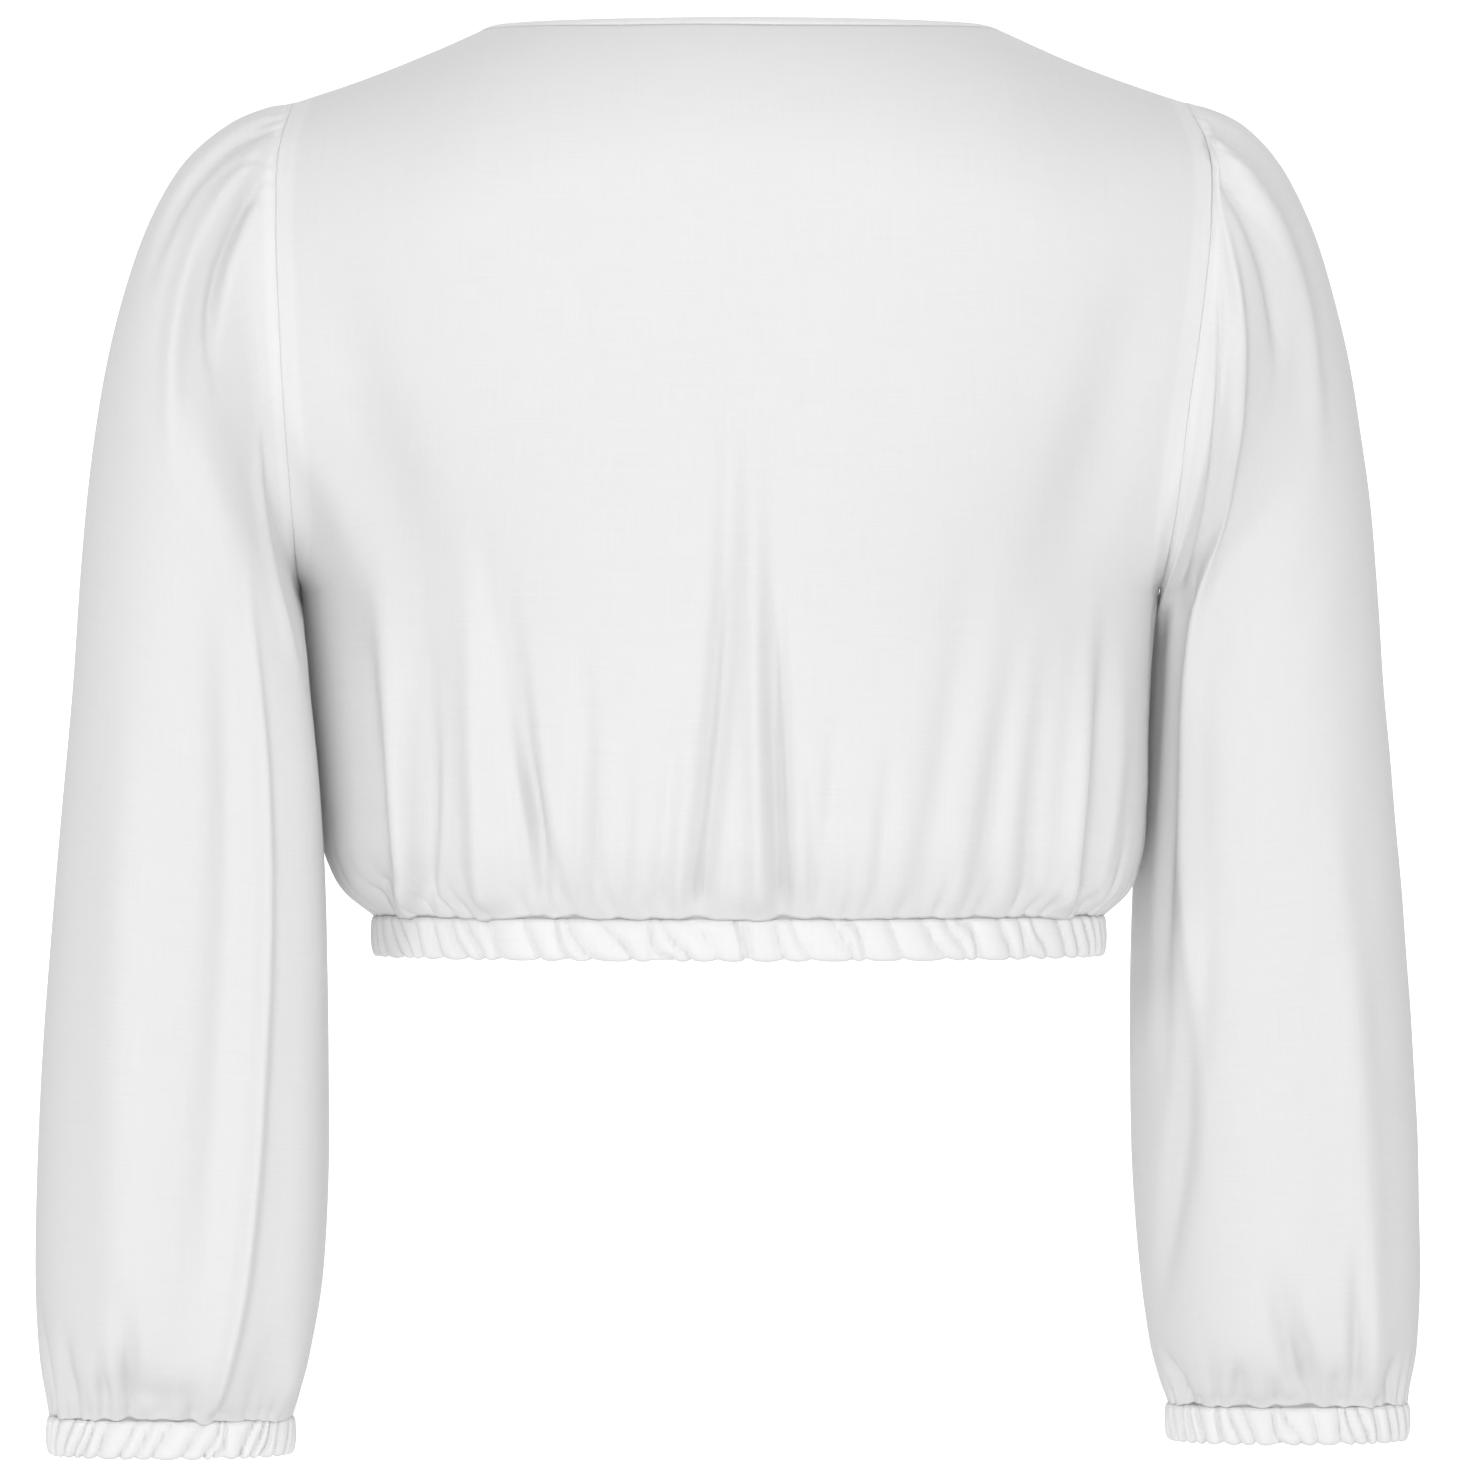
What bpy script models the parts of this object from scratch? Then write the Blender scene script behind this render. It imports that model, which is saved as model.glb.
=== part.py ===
"""A cropped dirndl blouse in white cotton, hollow, in the shape that it takes when it is worn.

It has a back and a front, two long balloon sleeves gathered into the armholes, an elastic casing
under the bust, an elastic cuff at each wrist and a narrow binding round the neck. Lengths are in
metres. The origin lies midway between the two shoulder seams, at the height of their neck ends.
+Z is up, the front faces -Y, and +X is the wearer's left.
"""

from collections import namedtuple

import bpy
import numpy as np

# Driving sizes of the cloth
CLOTH = 0.0012
SEAM_GAP = 0.0003
SEAM_LEAN = 0.0004
CASING_CLOTH = 0.0024

# Driving sizes of the body
CASING_TOP = -0.3775
CASING_TALL = 0.0163
SEAM_Y = 0.005
SHOULDER_TIP_X = 0.188
SHOULDER_TIP_Z = -0.0335
NECK_POINT_X = 0.110
NECK_POINT_Z = -0.0035
BACK_NECK_DROP = 0.0030
FRONT_NECK_DROP = 0.118
NECK_ROUND = 2.5
SHOULDER_ROUND = 0.085
SHOULDER_RISE_AT_NECK = 0.020
SHOULDER_SAG = 0.0016
BINDING_WIDE = 0.0060
BINDING_CLOTH = 0.0014

# Driving sizes of the armhole
UNDERARM_Z = -0.239
ARMHOLE_WIDEST_Z = -0.150
ARMHOLE_REACH = {"back": 0.060, "front": 0.052}
ARMHOLE_BOW = 0.0085
BOWED_RINGS = 8
HUNG_RING = 5

# Driving sizes of the wrist
CUFF_TALL = 0.0150
HEM_GATHERS = 72
CUFF_GATHERS = 40
HEAD_GATHERS = 8
POINTS_A_GATHER = 3

FACE_SIGN = {"back": 1.0, "front": -1.0}
SIDE_SIGN = {"left": 1.0, "right": -1.0}

# The body by height: how far it reaches to the wearer's left and right, to the back and the front
BodySection = namedtuple("BodySection", "height left right back front")
BODY_SECTIONS = (
    BodySection(-0.3775, 0.1550, 0.1540, 0.0880, 0.0920),
    BodySection(-0.3690, 0.1660, 0.1635, 0.0955, 0.1020),
    BodySection(-0.3550, 0.1745, 0.1695, 0.1020, 0.1150),
    BodySection(-0.3300, 0.1782, 0.1722, 0.1050, 0.1290),
    BodySection(-0.2950, 0.1812, 0.1730, 0.1055, 0.1430),
    BodySection(-0.2600, 0.1845, 0.1752, 0.1060, 0.1520),
    BodySection(-0.2390, 0.1858, 0.1776, 0.1070, 0.1530),
    BodySection(-0.2100, 0.1868, 0.1818, 0.1085, 0.1480),
    BodySection(-0.1700, 0.1892, 0.1858, 0.1105, 0.1330),
    BodySection(-0.1250, 0.1915, 0.1920, 0.1110, 0.1120),
    BodySection(-0.0850, 0.1930, 0.1960, 0.1080, 0.0980),
    BodySection(-0.0550, 0.1925, 0.1955, 0.1030, 0.0900),
    BodySection(-0.0335, 0.1880, 0.1880, 0.0990, 0.0850),
    BodySection(0.0000, 0.1850, 0.1850, 0.0940, 0.0800),
)

# The sleeve from the armhole to the wrist: the outer and inner end of each ring, seen from behind,
# then its reach from front to back and the place of its middle. The inner ends of the two sleeves
# differ, because the body's two sides do
SleeveSection = namedtuple("SleeveSection", "out_x out_z left_in_x right_in_x in_z half_depth middle_y")
SLEEVE_SECTIONS = (
    SleeveSection(0.1880, -0.0335, 0.1858, 0.1776, -0.2390, 0.0560, 0.009),
    SleeveSection(0.1995, -0.0365, 0.1878, 0.1796, -0.2412, 0.0590, 0.009),
    SleeveSection(0.2145, -0.0440, 0.1882, 0.1800, -0.2440, 0.0612, 0.009),
    SleeveSection(0.2310, -0.0600, 0.1874, 0.1794, -0.2478, 0.0622, 0.008),
    SleeveSection(0.2440, -0.0830, 0.1856, 0.1782, -0.2530, 0.0625, 0.007),
    SleeveSection(0.2540, -0.1110, 0.1834, 0.1766, -0.2598, 0.0622, 0.006),
    SleeveSection(0.2625, -0.1450, 0.1815, 0.1752, -0.2688, 0.0617, 0.005),
    SleeveSection(0.2690, -0.1860, 0.1800, 0.1736, -0.2815, 0.0610, 0.004),
    SleeveSection(0.2735, -0.2320, 0.1782, 0.1722, -0.2995, 0.0603, 0.004),
    SleeveSection(0.2770, -0.2800, 0.1758, 0.1706, -0.3250, 0.0597, 0.004),
    SleeveSection(0.2815, -0.3300, 0.1738, 0.1684, -0.3600, 0.0592, 0.003),
    SleeveSection(0.2860, -0.3820, 0.1730, 0.1672, -0.4000, 0.0588, 0.001),
    SleeveSection(0.2900, -0.4320, 0.1728, 0.1672, -0.4420, 0.0582, -0.001),
    SleeveSection(0.2925, -0.4820, 0.1730, 0.1682, -0.4860, 0.0572, -0.003),
    SleeveSection(0.2936, -0.5280, 0.1755, 0.1715, -0.5290, 0.0550, -0.005),
    SleeveSection(0.2925, -0.5600, 0.1805, 0.1757, -0.5605, 0.0490, -0.006),
    SleeveSection(0.2900, -0.5780, 0.1850, 0.1802, -0.5782, 0.0385, -0.006),
    SleeveSection(0.2885, -0.5875, 0.1880, 0.1835, -0.5875, 0.0285, -0.006),
)
RING_SQUARENESS = 0.88

# How far out and back each sleeve lies, beside the mean of the two
SleeveHang = namedtuple("SleeveHang", "outer back")
SLEEVE_HANG = {
    "left": SleeveHang(0.0022, 0.030),
    "right": SleeveHang(-0.0022, -0.030),
}

# A fold of the body, by where its top, its middle and its foot lie. A trough has a depth below zero
BodyFold = namedtuple("BodyFold", "top_x top_z mid_x mid_z foot_x foot_z depth half_width")
BODY_FOLDS = {
    "back": (
        BodyFold(0.1530, -0.215, 0.1441, -0.310, 0.1400, -0.378, 0.0035, 0.0065),
        BodyFold(0.1331, -0.225, 0.1274, -0.310, 0.1315, -0.378, -0.0030, 0.0080),
        BodyFold(0.1282, -0.200, 0.1144, -0.310, 0.1062, -0.378, -0.0030, 0.0070),
        BodyFold(0.0993, -0.215, 0.0851, -0.310, 0.0806, -0.378, -0.0048, 0.0068),
        BodyFold(0.0631, -0.260, 0.0623, -0.310, 0.0627, -0.378, -0.0034, 0.0060),
        BodyFold(0.0256, -0.272, 0.0289, -0.320, 0.0330, -0.378, -0.0034, 0.0060),
        BodyFold(0.0024, -0.140, 0.0068, -0.260, 0.0155, -0.378, -0.0058, 0.0060),
        BodyFold(-0.0053, -0.135, -0.0045, -0.260, -0.0020, -0.378, 0.0030, 0.0060),
        BodyFold(-0.0118, -0.180, -0.0150, -0.280, -0.0179, -0.378, -0.0058, 0.0060),
        BodyFold(-0.0403, -0.285, -0.0379, -0.320, -0.0342, -0.378, -0.0034, 0.0060),
        BodyFold(-0.1013, -0.195, -0.0863, -0.300, -0.0741, -0.378, -0.0038, 0.0085),
        BodyFold(-0.1184, -0.235, -0.1074, -0.310, -0.1022, -0.378, -0.0046, 0.0068),
        BodyFold(-0.1469, -0.215, -0.1319, -0.310, -0.1258, -0.378, -0.0046, 0.0065),
        BodyFold(0.1665, -0.090, 0.1500, -0.165, 0.1260, -0.250, -0.0040, 0.0170),
        BodyFold(-0.1650, -0.090, -0.1470, -0.165, -0.1245, -0.250, -0.0040, 0.0170),
    ),
    "front": (
        BodyFold(0.1400, -0.270, 0.1350, -0.320, 0.1270, -0.378, -0.0042, 0.0070),
        BodyFold(0.1060, -0.235, 0.1020, -0.310, 0.0950, -0.378, -0.0050, 0.0072),
        BodyFold(0.0700, -0.250, 0.0680, -0.320, 0.0640, -0.378, -0.0044, 0.0065),
        BodyFold(0.0370, -0.230, 0.0360, -0.310, 0.0330, -0.378, -0.0040, 0.0062),
        BodyFold(0.0080, -0.200, 0.0070, -0.300, 0.0060, -0.378, -0.0052, 0.0065),
        BodyFold(-0.0200, -0.240, -0.0210, -0.310, -0.0230, -0.378, -0.0042, 0.0062),
        BodyFold(-0.0530, -0.225, -0.0510, -0.310, -0.0480, -0.378, -0.0046, 0.0066),
        BodyFold(-0.0880, -0.250, -0.0860, -0.320, -0.0800, -0.378, -0.0050, 0.0070),
        BodyFold(-0.1250, -0.240, -0.1180, -0.315, -0.1110, -0.378, -0.0044, 0.0070),
        BodyFold(0.1500, -0.110, 0.1350, -0.170, 0.1150, -0.215, -0.0030, 0.0150),
        BodyFold(-0.1500, -0.110, -0.1350, -0.170, -0.1150, -0.215, -0.0030, 0.0150),
    ),
}

# A fold of the sleeve, by ring number and by angle: 0 is the shoulder and the outside of the arm,
# 90 the back, 180 the underarm and 270 the front
SleeveFold = namedtuple(
    "SleeveFold", "top_ring top_angle mid_ring mid_angle foot_ring foot_angle depth half_width"
)
SLEEVE_FOLDS = {
    "left": (
        SleeveFold(2.5, 196, 8.0, 199, 12.5, 199, -0.0050, 0.0120),
        SleeveFold(-0.5, 40, 2.6, 58, 5.5, 84, -0.0052, 0.0080),
        SleeveFold(-0.5, 30, 2.6, 46, 6.5, 66, 0.0030, 0.0080),
        SleeveFold(0.3, 322, 3.0, 305, 6.0, 280, -0.0055, 0.0075),
        SleeveFold(5.0, 117, 10.0, 121, 18.5, 102, 0.0024, 0.0045),
        SleeveFold(6.0, 103, 11.0, 106, 18.5, 97, -0.0042, 0.0095),
        SleeveFold(8.0, 62, 12.0, 65, 16.5, 66, 0.0026, 0.0150),
        SleeveFold(14.0, 60, 16.5, 62, 18.5, 64, -0.0040, 0.0060),
        SleeveFold(14.5, 142, 16.5, 140, 18.5, 137, -0.0042, 0.0070),
        SleeveFold(7.0, 245, 12.0, 238, 18.5, 240, -0.0045, 0.0100),
        SleeveFold(9.0, 290, 13.0, 293, 18.5, 298, -0.0042, 0.0090),
        SleeveFold(13.5, 268, 16.0, 268, 18.5, 270, -0.0040, 0.0060),
        SleeveFold(14.0, 20, 16.0, 18, 18.5, 16, -0.0036, 0.0070),
    ),
    "right": (
        SleeveFold(2.5, 164, 8.0, 161, 12.5, 161, -0.0030, 0.0120),
        SleeveFold(-0.5, 38, 2.6, 54, 5.0, 74, -0.0055, 0.0080),
        SleeveFold(-0.5, 28, 2.6, 42, 6.5, 60, 0.0030, 0.0080),
        SleeveFold(0.3, 325, 3.0, 308, 6.0, 285, -0.0055, 0.0075),
        SleeveFold(1.5, 84, 3.5, 106, 7.0, 124, -0.0040, 0.0060),
        SleeveFold(2.5, 96, 8.0, 131, 13.5, 128, 0.0036, 0.0065),
        SleeveFold(11.0, 84, 14.0, 82, 16.8, 80, -0.0028, 0.0080),
        SleeveFold(9.0, 66, 13.0, 60, 18.0, 56, 0.0020, 0.0100),
        SleeveFold(13.8, 78, 16.0, 72, 18.5, 66, -0.0048, 0.0055),
        SleeveFold(14.5, 46, 16.5, 44, 18.5, 42, -0.0042, 0.0055),
        SleeveFold(15.0, 118, 16.5, 117, 18.5, 115, -0.0036, 0.0055),
        SleeveFold(7.0, 250, 12.0, 244, 18.5, 246, -0.0045, 0.0100),
        SleeveFold(9.5, 296, 13.0, 300, 18.5, 304, -0.0042, 0.0090),
        SleeveFold(13.5, 272, 16.0, 273, 18.5, 275, -0.0040, 0.0060),
    ),
}

# The width of a casing's cross-section: share of its height below the top, how far it stands out,
# and how much of a gather's relief it has
CasingStation = namedtuple("CasingStation", "down out relief")
CASING_STATIONS = (
    CasingStation(0.00, 0.0000, 0.45),
    CasingStation(0.30, 0.0012, 1.00),
    CasingStation(0.78, 0.0010, 1.00),
    CasingStation(1.00, -0.0006, 0.50),
    CasingStation(0.98, -CASING_CLOTH, 0.00),
    CasingStation(0.02, -CASING_CLOTH, 0.00),
)
GATHER_LEAN = 0.7

# Where the rings of the solids lie
ACROSS_COUNT = {"back": 41, "front": 37}
ROW_HEIGHTS = (
    -0.3775, -0.3690, -0.3540, -0.3280, -0.2970, -0.2660, UNDERARM_Z, -0.2340, -0.2200, -0.1920,
    -0.1560, -0.1180, -0.0820, -0.0560, -0.0410, SHOULDER_TIP_Z,
)
SLEEVE_RINGS = (0.0, 0.6, 1.3, 2.1, 3.0, 4.0, 5.2, 6.5, 8.0, 9.5, 11.0, 12.5, 14.0, 15.2, 16.0, 17.0)
HEAD_COLUMNS = 25
HEAD_SPREAD = np.radians(58)
ARM_COLUMNS = 20

WHITE = (0.90, 0.90, 0.895, 1.0)
CLOTH_ROUGHNESS = 0.85


# Curves and easing

def curve_through(at, places, values):
    """The values at `at` of a smooth curve through the points (places, values)."""
    places = np.asarray(places, float)
    values = np.asarray(values, float)
    slopes = np.gradient(values, places, axis=0)
    at = np.clip(at, places[0], places[-1])
    i = np.clip(np.searchsorted(places, at) - 1, 0, len(places) - 2)
    step = places[i + 1] - places[i]
    u = (at - places[i]) / step
    extra = (1,) * (values.ndim - 1)
    u = u.reshape(u.shape + extra)
    step = step.reshape(step.shape + extra)
    start = (1 + 2 * u) * (1 - u) ** 2 * values[i] + u * (1 - u) ** 2 * step * slopes[i]
    end = u * u * (3 - 2 * u) * values[i + 1] + u * u * (u - 1) * step * slopes[i + 1]
    return start + end


def ease(x):
    """0 up to x = 0, 1 from x = 1, and smooth between."""
    x = np.clip(x, 0, 1)
    return x * x * (3 - 2 * x)


def bump(distance, half_width):
    """A soft fold's cross-section: 1 on its line, and about 0 at two half widths."""
    return np.exp(-((distance / half_width) ** 2))


# The body

def half_width_at(z, side):
    return curve_through(z, [s.height for s in BODY_SECTIONS], [getattr(s, side) for s in BODY_SECTIONS])


def half_width_beside(x, z):
    """The half width on the side that each x lies on."""
    return np.where(x >= 0, half_width_at(z, "left"), half_width_at(z, "right"))


def depth_at(z, face):
    return curve_through(z, [s.height for s in BODY_SECTIONS], [getattr(s, face) for s in BODY_SECTIONS])


def shoulder_height(x):
    """The height of the shoulder's ridge above this x, carried on over the neck."""
    slope = (SHOULDER_TIP_Z - NECK_POINT_Z) / (SHOULDER_TIP_X - NECK_POINT_X)
    along = np.clip((x - NECK_POINT_X) / (SHOULDER_TIP_X - NECK_POINT_X), 0, 1)
    seam = NECK_POINT_Z + slope * (x - NECK_POINT_X) - SHOULDER_SAG * np.sin(np.pi * along)
    neck = NECK_POINT_Z + SHOULDER_RISE_AT_NECK * (1 - (x / NECK_POINT_X) ** 2)
    return np.where(x > NECK_POINT_X, seam, neck)


def armhole_edge_y(z, face):
    """How far to the back or front the armhole's edge, or the side seam below it, lies."""
    below = np.clip((ARMHOLE_WIDEST_Z - z) / (ARMHOLE_WIDEST_Z - UNDERARM_Z), 0, 1)
    reach = ARMHOLE_REACH[face] * np.sqrt(1 - below**2)
    return SEAM_Y + FACE_SIGN[face] * reach


def rounded_to_shoulder(y, x, z):
    """The y of a point of the body, drawn in to the shoulder seam near the shoulder's ridge."""
    below = np.clip((shoulder_height(x) - z) / SHOULDER_ROUND, 0, 1)
    return SEAM_Y + (y - SEAM_Y) * np.sqrt(1 - (1 - below) ** 2)


def top_outline(share, face):
    """The x and z of a panel's top edge: the neckline up to a share of 0.5, then the shoulder seam."""
    drop = BACK_NECK_DROP if face == "back" else FRONT_NECK_DROP
    from_middle = np.clip(share / 0.5, 0, 1)
    neck_x = NECK_POINT_X * from_middle
    neck_z = NECK_POINT_Z - drop * (1 - from_middle**NECK_ROUND)
    seam_x = NECK_POINT_X + (SHOULDER_TIP_X - NECK_POINT_X) * np.clip(share / 0.5 - 1, 0, 1)
    on_neck = share < 0.5
    return np.where(on_neck, neck_x, seam_x), np.where(on_neck, neck_z, shoulder_height(seam_x))


def body_surface(across, up, face):
    """Points of a panel without folds. across runs from -1 to 1, and up from 0 at the casing to 1."""
    share = np.abs(across)
    top_x, top_z = top_outline(share, face)
    z = CASING_TOP + (top_z - CASING_TOP) * up
    reach = half_width_beside(across, z)
    low = np.sin(share * np.pi / 2)
    out = low + (top_x / half_width_beside(across, top_z) - low) * ease(up)
    x = reach * out
    lifted = ease((z + 0.30) / 0.14)
    swell = np.clip(1 - out ** (2 + 0.5 * lifted), 0, 1) ** (0.5 + 0.5 * lifted)
    edge = armhole_edge_y(z, face)
    y = edge + (FACE_SIGN[face] * depth_at(z, face) - edge) * swell
    y = rounded_to_shoulder(y, x, z) + FACE_SIGN[face] * (SEAM_GAP / 2 + SEAM_LEAN)
    return np.stack([np.sign(across) * x, y, z], axis=-1)


def body_relief(points, face):
    """How far the folds of a panel stand out at each point."""
    x, z = points[..., 0], points[..., 2]
    relief = np.zeros_like(x)
    for fold in BODY_FOLDS[face]:
        places = [fold.foot_z, fold.mid_z, fold.top_z]
        line = curve_through(z, places, [fold.foot_x, fold.mid_x, fold.top_x])
        height = (z - fold.foot_z) / (fold.top_z - fold.foot_z)
        strength = ease((1 - height) / 0.75)
        if fold.foot_z > CASING_TOP:
            strength = strength * ease(height / 0.4)
        relief += fold.depth * strength * bump(x - line, fold.half_width)
    inside = ease((half_width_beside(x, z) - np.abs(x)) / 0.012)
    above = 0.3 + 0.7 * ease((z - CASING_TOP) / 0.012)
    return relief * inside * above


# The sleeves

def armhole_loop(angle, side):
    """The armhole's edge on the body, at each angle round it."""
    middle = (SHOULDER_TIP_Z + UNDERARM_Z) / 2
    half = (SHOULDER_TIP_Z - UNDERARM_Z) / 2
    z = middle + half * np.cos(angle)
    rows = np.array(ROW_HEIGHTS)
    edges = []
    for face in ("back", "front"):
        edge = rounded_to_shoulder(armhole_edge_y(rows, face), half_width_at(rows, side), rows)
        edges.append(np.interp(z, rows, edge))
    x = np.interp(z, rows, half_width_at(rows, side))
    return np.stack([x, np.where(np.sin(angle) >= 0, edges[0], edges[1]), z], axis=-1)


def squared(value):
    return np.sign(value) * np.abs(value) ** RING_SQUARENESS


def sleeve_surface(ring, angle, side):
    """Points of a sleeve without folds, at ring numbers (a column) and angles (a row)."""
    rings = [armhole_loop(angle, side) + np.array([SEAM_GAP * 1.5, 0, 0])]
    lie = SLEEVE_HANG[side]
    for number, s in enumerate(SLEEVE_SECTIONS[1:], start=1):
        hang = ease((number - 1) / HUNG_RING)
        out = np.array([s.out_x + lie.outer * min(number / 3, 1), 0, s.out_z])
        inner = np.array([getattr(s, side + "_in_x"), 0, s.in_z])
        middle = (out + inner) / 2 + np.array([0, s.middle_y + lie.back * hang, 0])
        across = (out - inner) / 2
        depth = np.array([0, s.half_depth, 0])
        bow = np.array([ARMHOLE_BOW * (1 - ease(number / BOWED_RINGS)), 0, 0])
        points = middle + np.outer(squared(np.cos(angle)), across) + np.outer(squared(np.sin(angle)), depth)
        rings.append(points + np.outer(np.sin(angle) ** 2, bow))
    points = curve_through(ring, np.arange(len(rings)), np.array(rings))
    points[..., 0] *= SIDE_SIGN[side]
    return points


def turned(angle, line):
    """The angle between two directions, in radians, from -pi to pi."""
    return (angle - line + np.pi) % (2 * np.pi) - np.pi


def sleeve_relief(ring, angle, side):
    """How far the folds of a sleeve, and the gathers of its head, stand out."""
    ring, angle = np.broadcast_arrays(ring[:, None], angle[None, :])
    relief = np.zeros(ring.shape)
    for fold in SLEEVE_FOLDS[side]:
        places = [fold.top_ring, fold.mid_ring, fold.foot_ring]
        line = np.radians(curve_through(ring, places, [fold.top_angle, fold.mid_angle, fold.foot_angle]))
        radius = 0.058
        along = (ring - fold.top_ring) / (fold.foot_ring - fold.top_ring)
        strength = ease(along / 0.35) if fold.top_ring >= 0 else ease(ring / 2.2)
        if fold.foot_ring <= len(SLEEVE_SECTIONS) - 1:
            strength = strength * ease((1 - along) / 0.35)
        strength = strength * (along >= 0) * (along <= 1)
        relief += fold.depth * strength * bump(turned(angle, line) * radius, fold.half_width)
    spread = turned(angle, 0) / HEAD_SPREAD
    wave = -np.cos(spread * np.pi * HEAD_GATHERS)
    puckered = ease((1 - np.abs(spread)) / 0.3) * ease(ring / 1.3) * ease((4.2 - ring) / 2.9)
    return relief + 0.0016 * wave * puckered


# Meshes

def normals_of(grid, closed):
    """Unit normals of a grid of points, rows by columns."""
    along = np.gradient(grid, axis=0)
    if closed:
        around = (np.roll(grid, -1, axis=1) - np.roll(grid, 1, axis=1)) / 2
    else:
        around = np.gradient(grid, axis=1)
    normals = np.cross(around, along)
    return normals / np.maximum(np.linalg.norm(normals, axis=-1, keepdims=True), 1e-12)


def grid_faces(rows, columns, closed_rows, closed_columns):
    faces = []
    for r in range(rows if closed_rows else rows - 1):
        for c in range(columns if closed_columns else columns - 1):
            below, beside = (r + 1) % rows, (c + 1) % columns
            corners = (r * columns + c, r * columns + beside, below * columns + beside, below * columns + c)
            faces.append(corners)
    return faces


def add_piece(name, grid, closed_rows=False, closed_columns=False):
    """A named object whose faces join a grid of points."""
    rows, columns = grid.shape[:2]
    mesh = bpy.data.meshes.new(name)
    faces = grid_faces(rows, columns, closed_rows, closed_columns)
    mesh.from_pydata(grid.reshape(-1, 3).tolist(), [], faces)
    mesh.update()
    mesh.materials.append(cloth_material(name))
    mesh.shade_smooth()
    piece = bpy.data.objects.new(name, mesh)
    blouse.objects.link(piece)
    return piece


def thicken(piece, thickness):
    """Gives an open surface its cloth, on the side away from its normals."""
    wall = piece.modifiers.new("cloth", "SOLIDIFY")
    wall.thickness = thickness
    wall.offset = -1
    wall.use_even_offset = True
    return piece


def cloth_material(name):
    material = bpy.data.materials.new(name + "_cloth")
    material.use_nodes = True
    shader = material.node_tree.nodes["Principled BSDF"]
    shader.inputs["Base Color"].default_value = WHITE
    shader.inputs["Roughness"].default_value = CLOTH_ROUGHNESS
    shader.inputs["Metallic"].default_value = 0.0
    return material


# Pieces

def panel_grid(across, up, face):
    """A panel's points with its folds. Its normals point out of the body."""
    surface = body_surface(across[None, :], up[:, None], face)
    normals = normals_of(surface, False) * -FACE_SIGN[face]
    return surface + normals * body_relief(surface, face)[..., None]


def make_panel(face):
    across = np.linspace(-1, 1, ACROSS_COUNT[face])
    up = (np.array(ROW_HEIGHTS) - CASING_TOP) / (SHOULDER_TIP_Z - CASING_TOP)
    grid = panel_grid(across, up, face)
    if face == "back":
        grid = grid[:, ::-1]
    return thicken(add_piece(face, grid), CLOTH)


def sleeve_angles():
    """Angles round a sleeve, closer together over its gathered head."""
    head = np.linspace(-HEAD_SPREAD, HEAD_SPREAD, HEAD_COLUMNS)
    arm = np.linspace(HEAD_SPREAD, 2 * np.pi - HEAD_SPREAD, ARM_COLUMNS + 2)[1:-1]
    return np.concatenate([head, arm])


def make_sleeve(side):
    ring = np.array(SLEEVE_RINGS)
    angle = sleeve_angles()
    surface = sleeve_surface(ring, angle, side)
    outward = normals_of(surface, True) * -SIDE_SIGN[side]
    grid = surface + outward * sleeve_relief(ring, angle, side)[..., None]
    if side == "left":
        grid = grid[:, ::-1]
    return thicken(add_piece("sleeve_" + side, grid, closed_columns=True), CLOTH)


def gathered_ring(name, plan, tall, gathers, depth):
    """A casing of double cloth over elastic. plan(turn) gives the points of its top edge and the way out."""
    columns = gathers * POINTS_A_GATHER
    turn = np.arange(columns) / columns
    rows = []
    for station in CASING_STATIONS:
        leaning = turn + GATHER_LEAN * (station.down - 0.5) / gathers
        points, out = plan(leaning)
        number = np.arange(columns) // POINTS_A_GATHER
        phase = np.arange(columns) % POINTS_A_GATHER
        crest = np.array([-1.0, 0.35, 0.65])[phase]
        size = 0.7 + 0.6 * ((number * 0.618) % 1.0)
        stands = station.out + depth * crest * size * station.relief
        points = points + out * stands[:, None]
        points[:, 2] -= station.down * tall + depth * 0.35 * crest * station.relief * (station.down == 1)
        rows.append(points)
    return add_piece(name, np.array(rows), closed_rows=True, closed_columns=True)


def hem_plan(turn):
    """The top of the hem casing, once round from the centre back, and the way out."""
    angle = turn * 2 * np.pi
    foot = BODY_SECTIONS[0]
    half_width = np.where(np.sin(angle) >= 0, foot.left, foot.right) - 0.0012
    back = np.cos(angle) >= 0
    depth = np.where(back, foot.back - SEAM_Y, foot.front + SEAM_Y) - 0.0012
    points = np.stack([half_width * np.sin(angle), SEAM_Y + depth * np.cos(angle),
                       np.full(len(angle), CASING_TOP - SEAM_GAP)], axis=-1)
    out = np.stack([depth * np.sin(angle), half_width * np.cos(angle), np.zeros(len(angle))], axis=-1)
    return points, out / np.linalg.norm(out, axis=-1, keepdims=True)


def cuff_plan(side):
    """The same for a cuff, from the sleeve's last ring."""
    last = SLEEVE_SECTIONS[-1]
    sign = SIDE_SIGN[side]
    lie = SLEEVE_HANG[side]
    out_x, in_x = last.out_x + lie.outer, getattr(last, side + "_in_x")
    middle = np.array([sign * (out_x + in_x) / 2, last.middle_y + lie.back, last.out_z - SEAM_GAP])
    half_width = (out_x - in_x) / 2 - 0.0014
    half_depth = last.half_depth - 0.0014

    def plan(turn):
        angle = turn * 2 * np.pi
        wide, deep = squared(np.sin(angle)), squared(np.cos(angle))
        points = middle + np.stack([half_width * wide, half_depth * deep, np.zeros(len(angle))], axis=-1)
        out = np.stack([half_depth * wide, half_width * deep, np.zeros(len(angle))], axis=-1)
        return points, out / np.linalg.norm(out, axis=-1, keepdims=True)

    return plan


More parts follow.
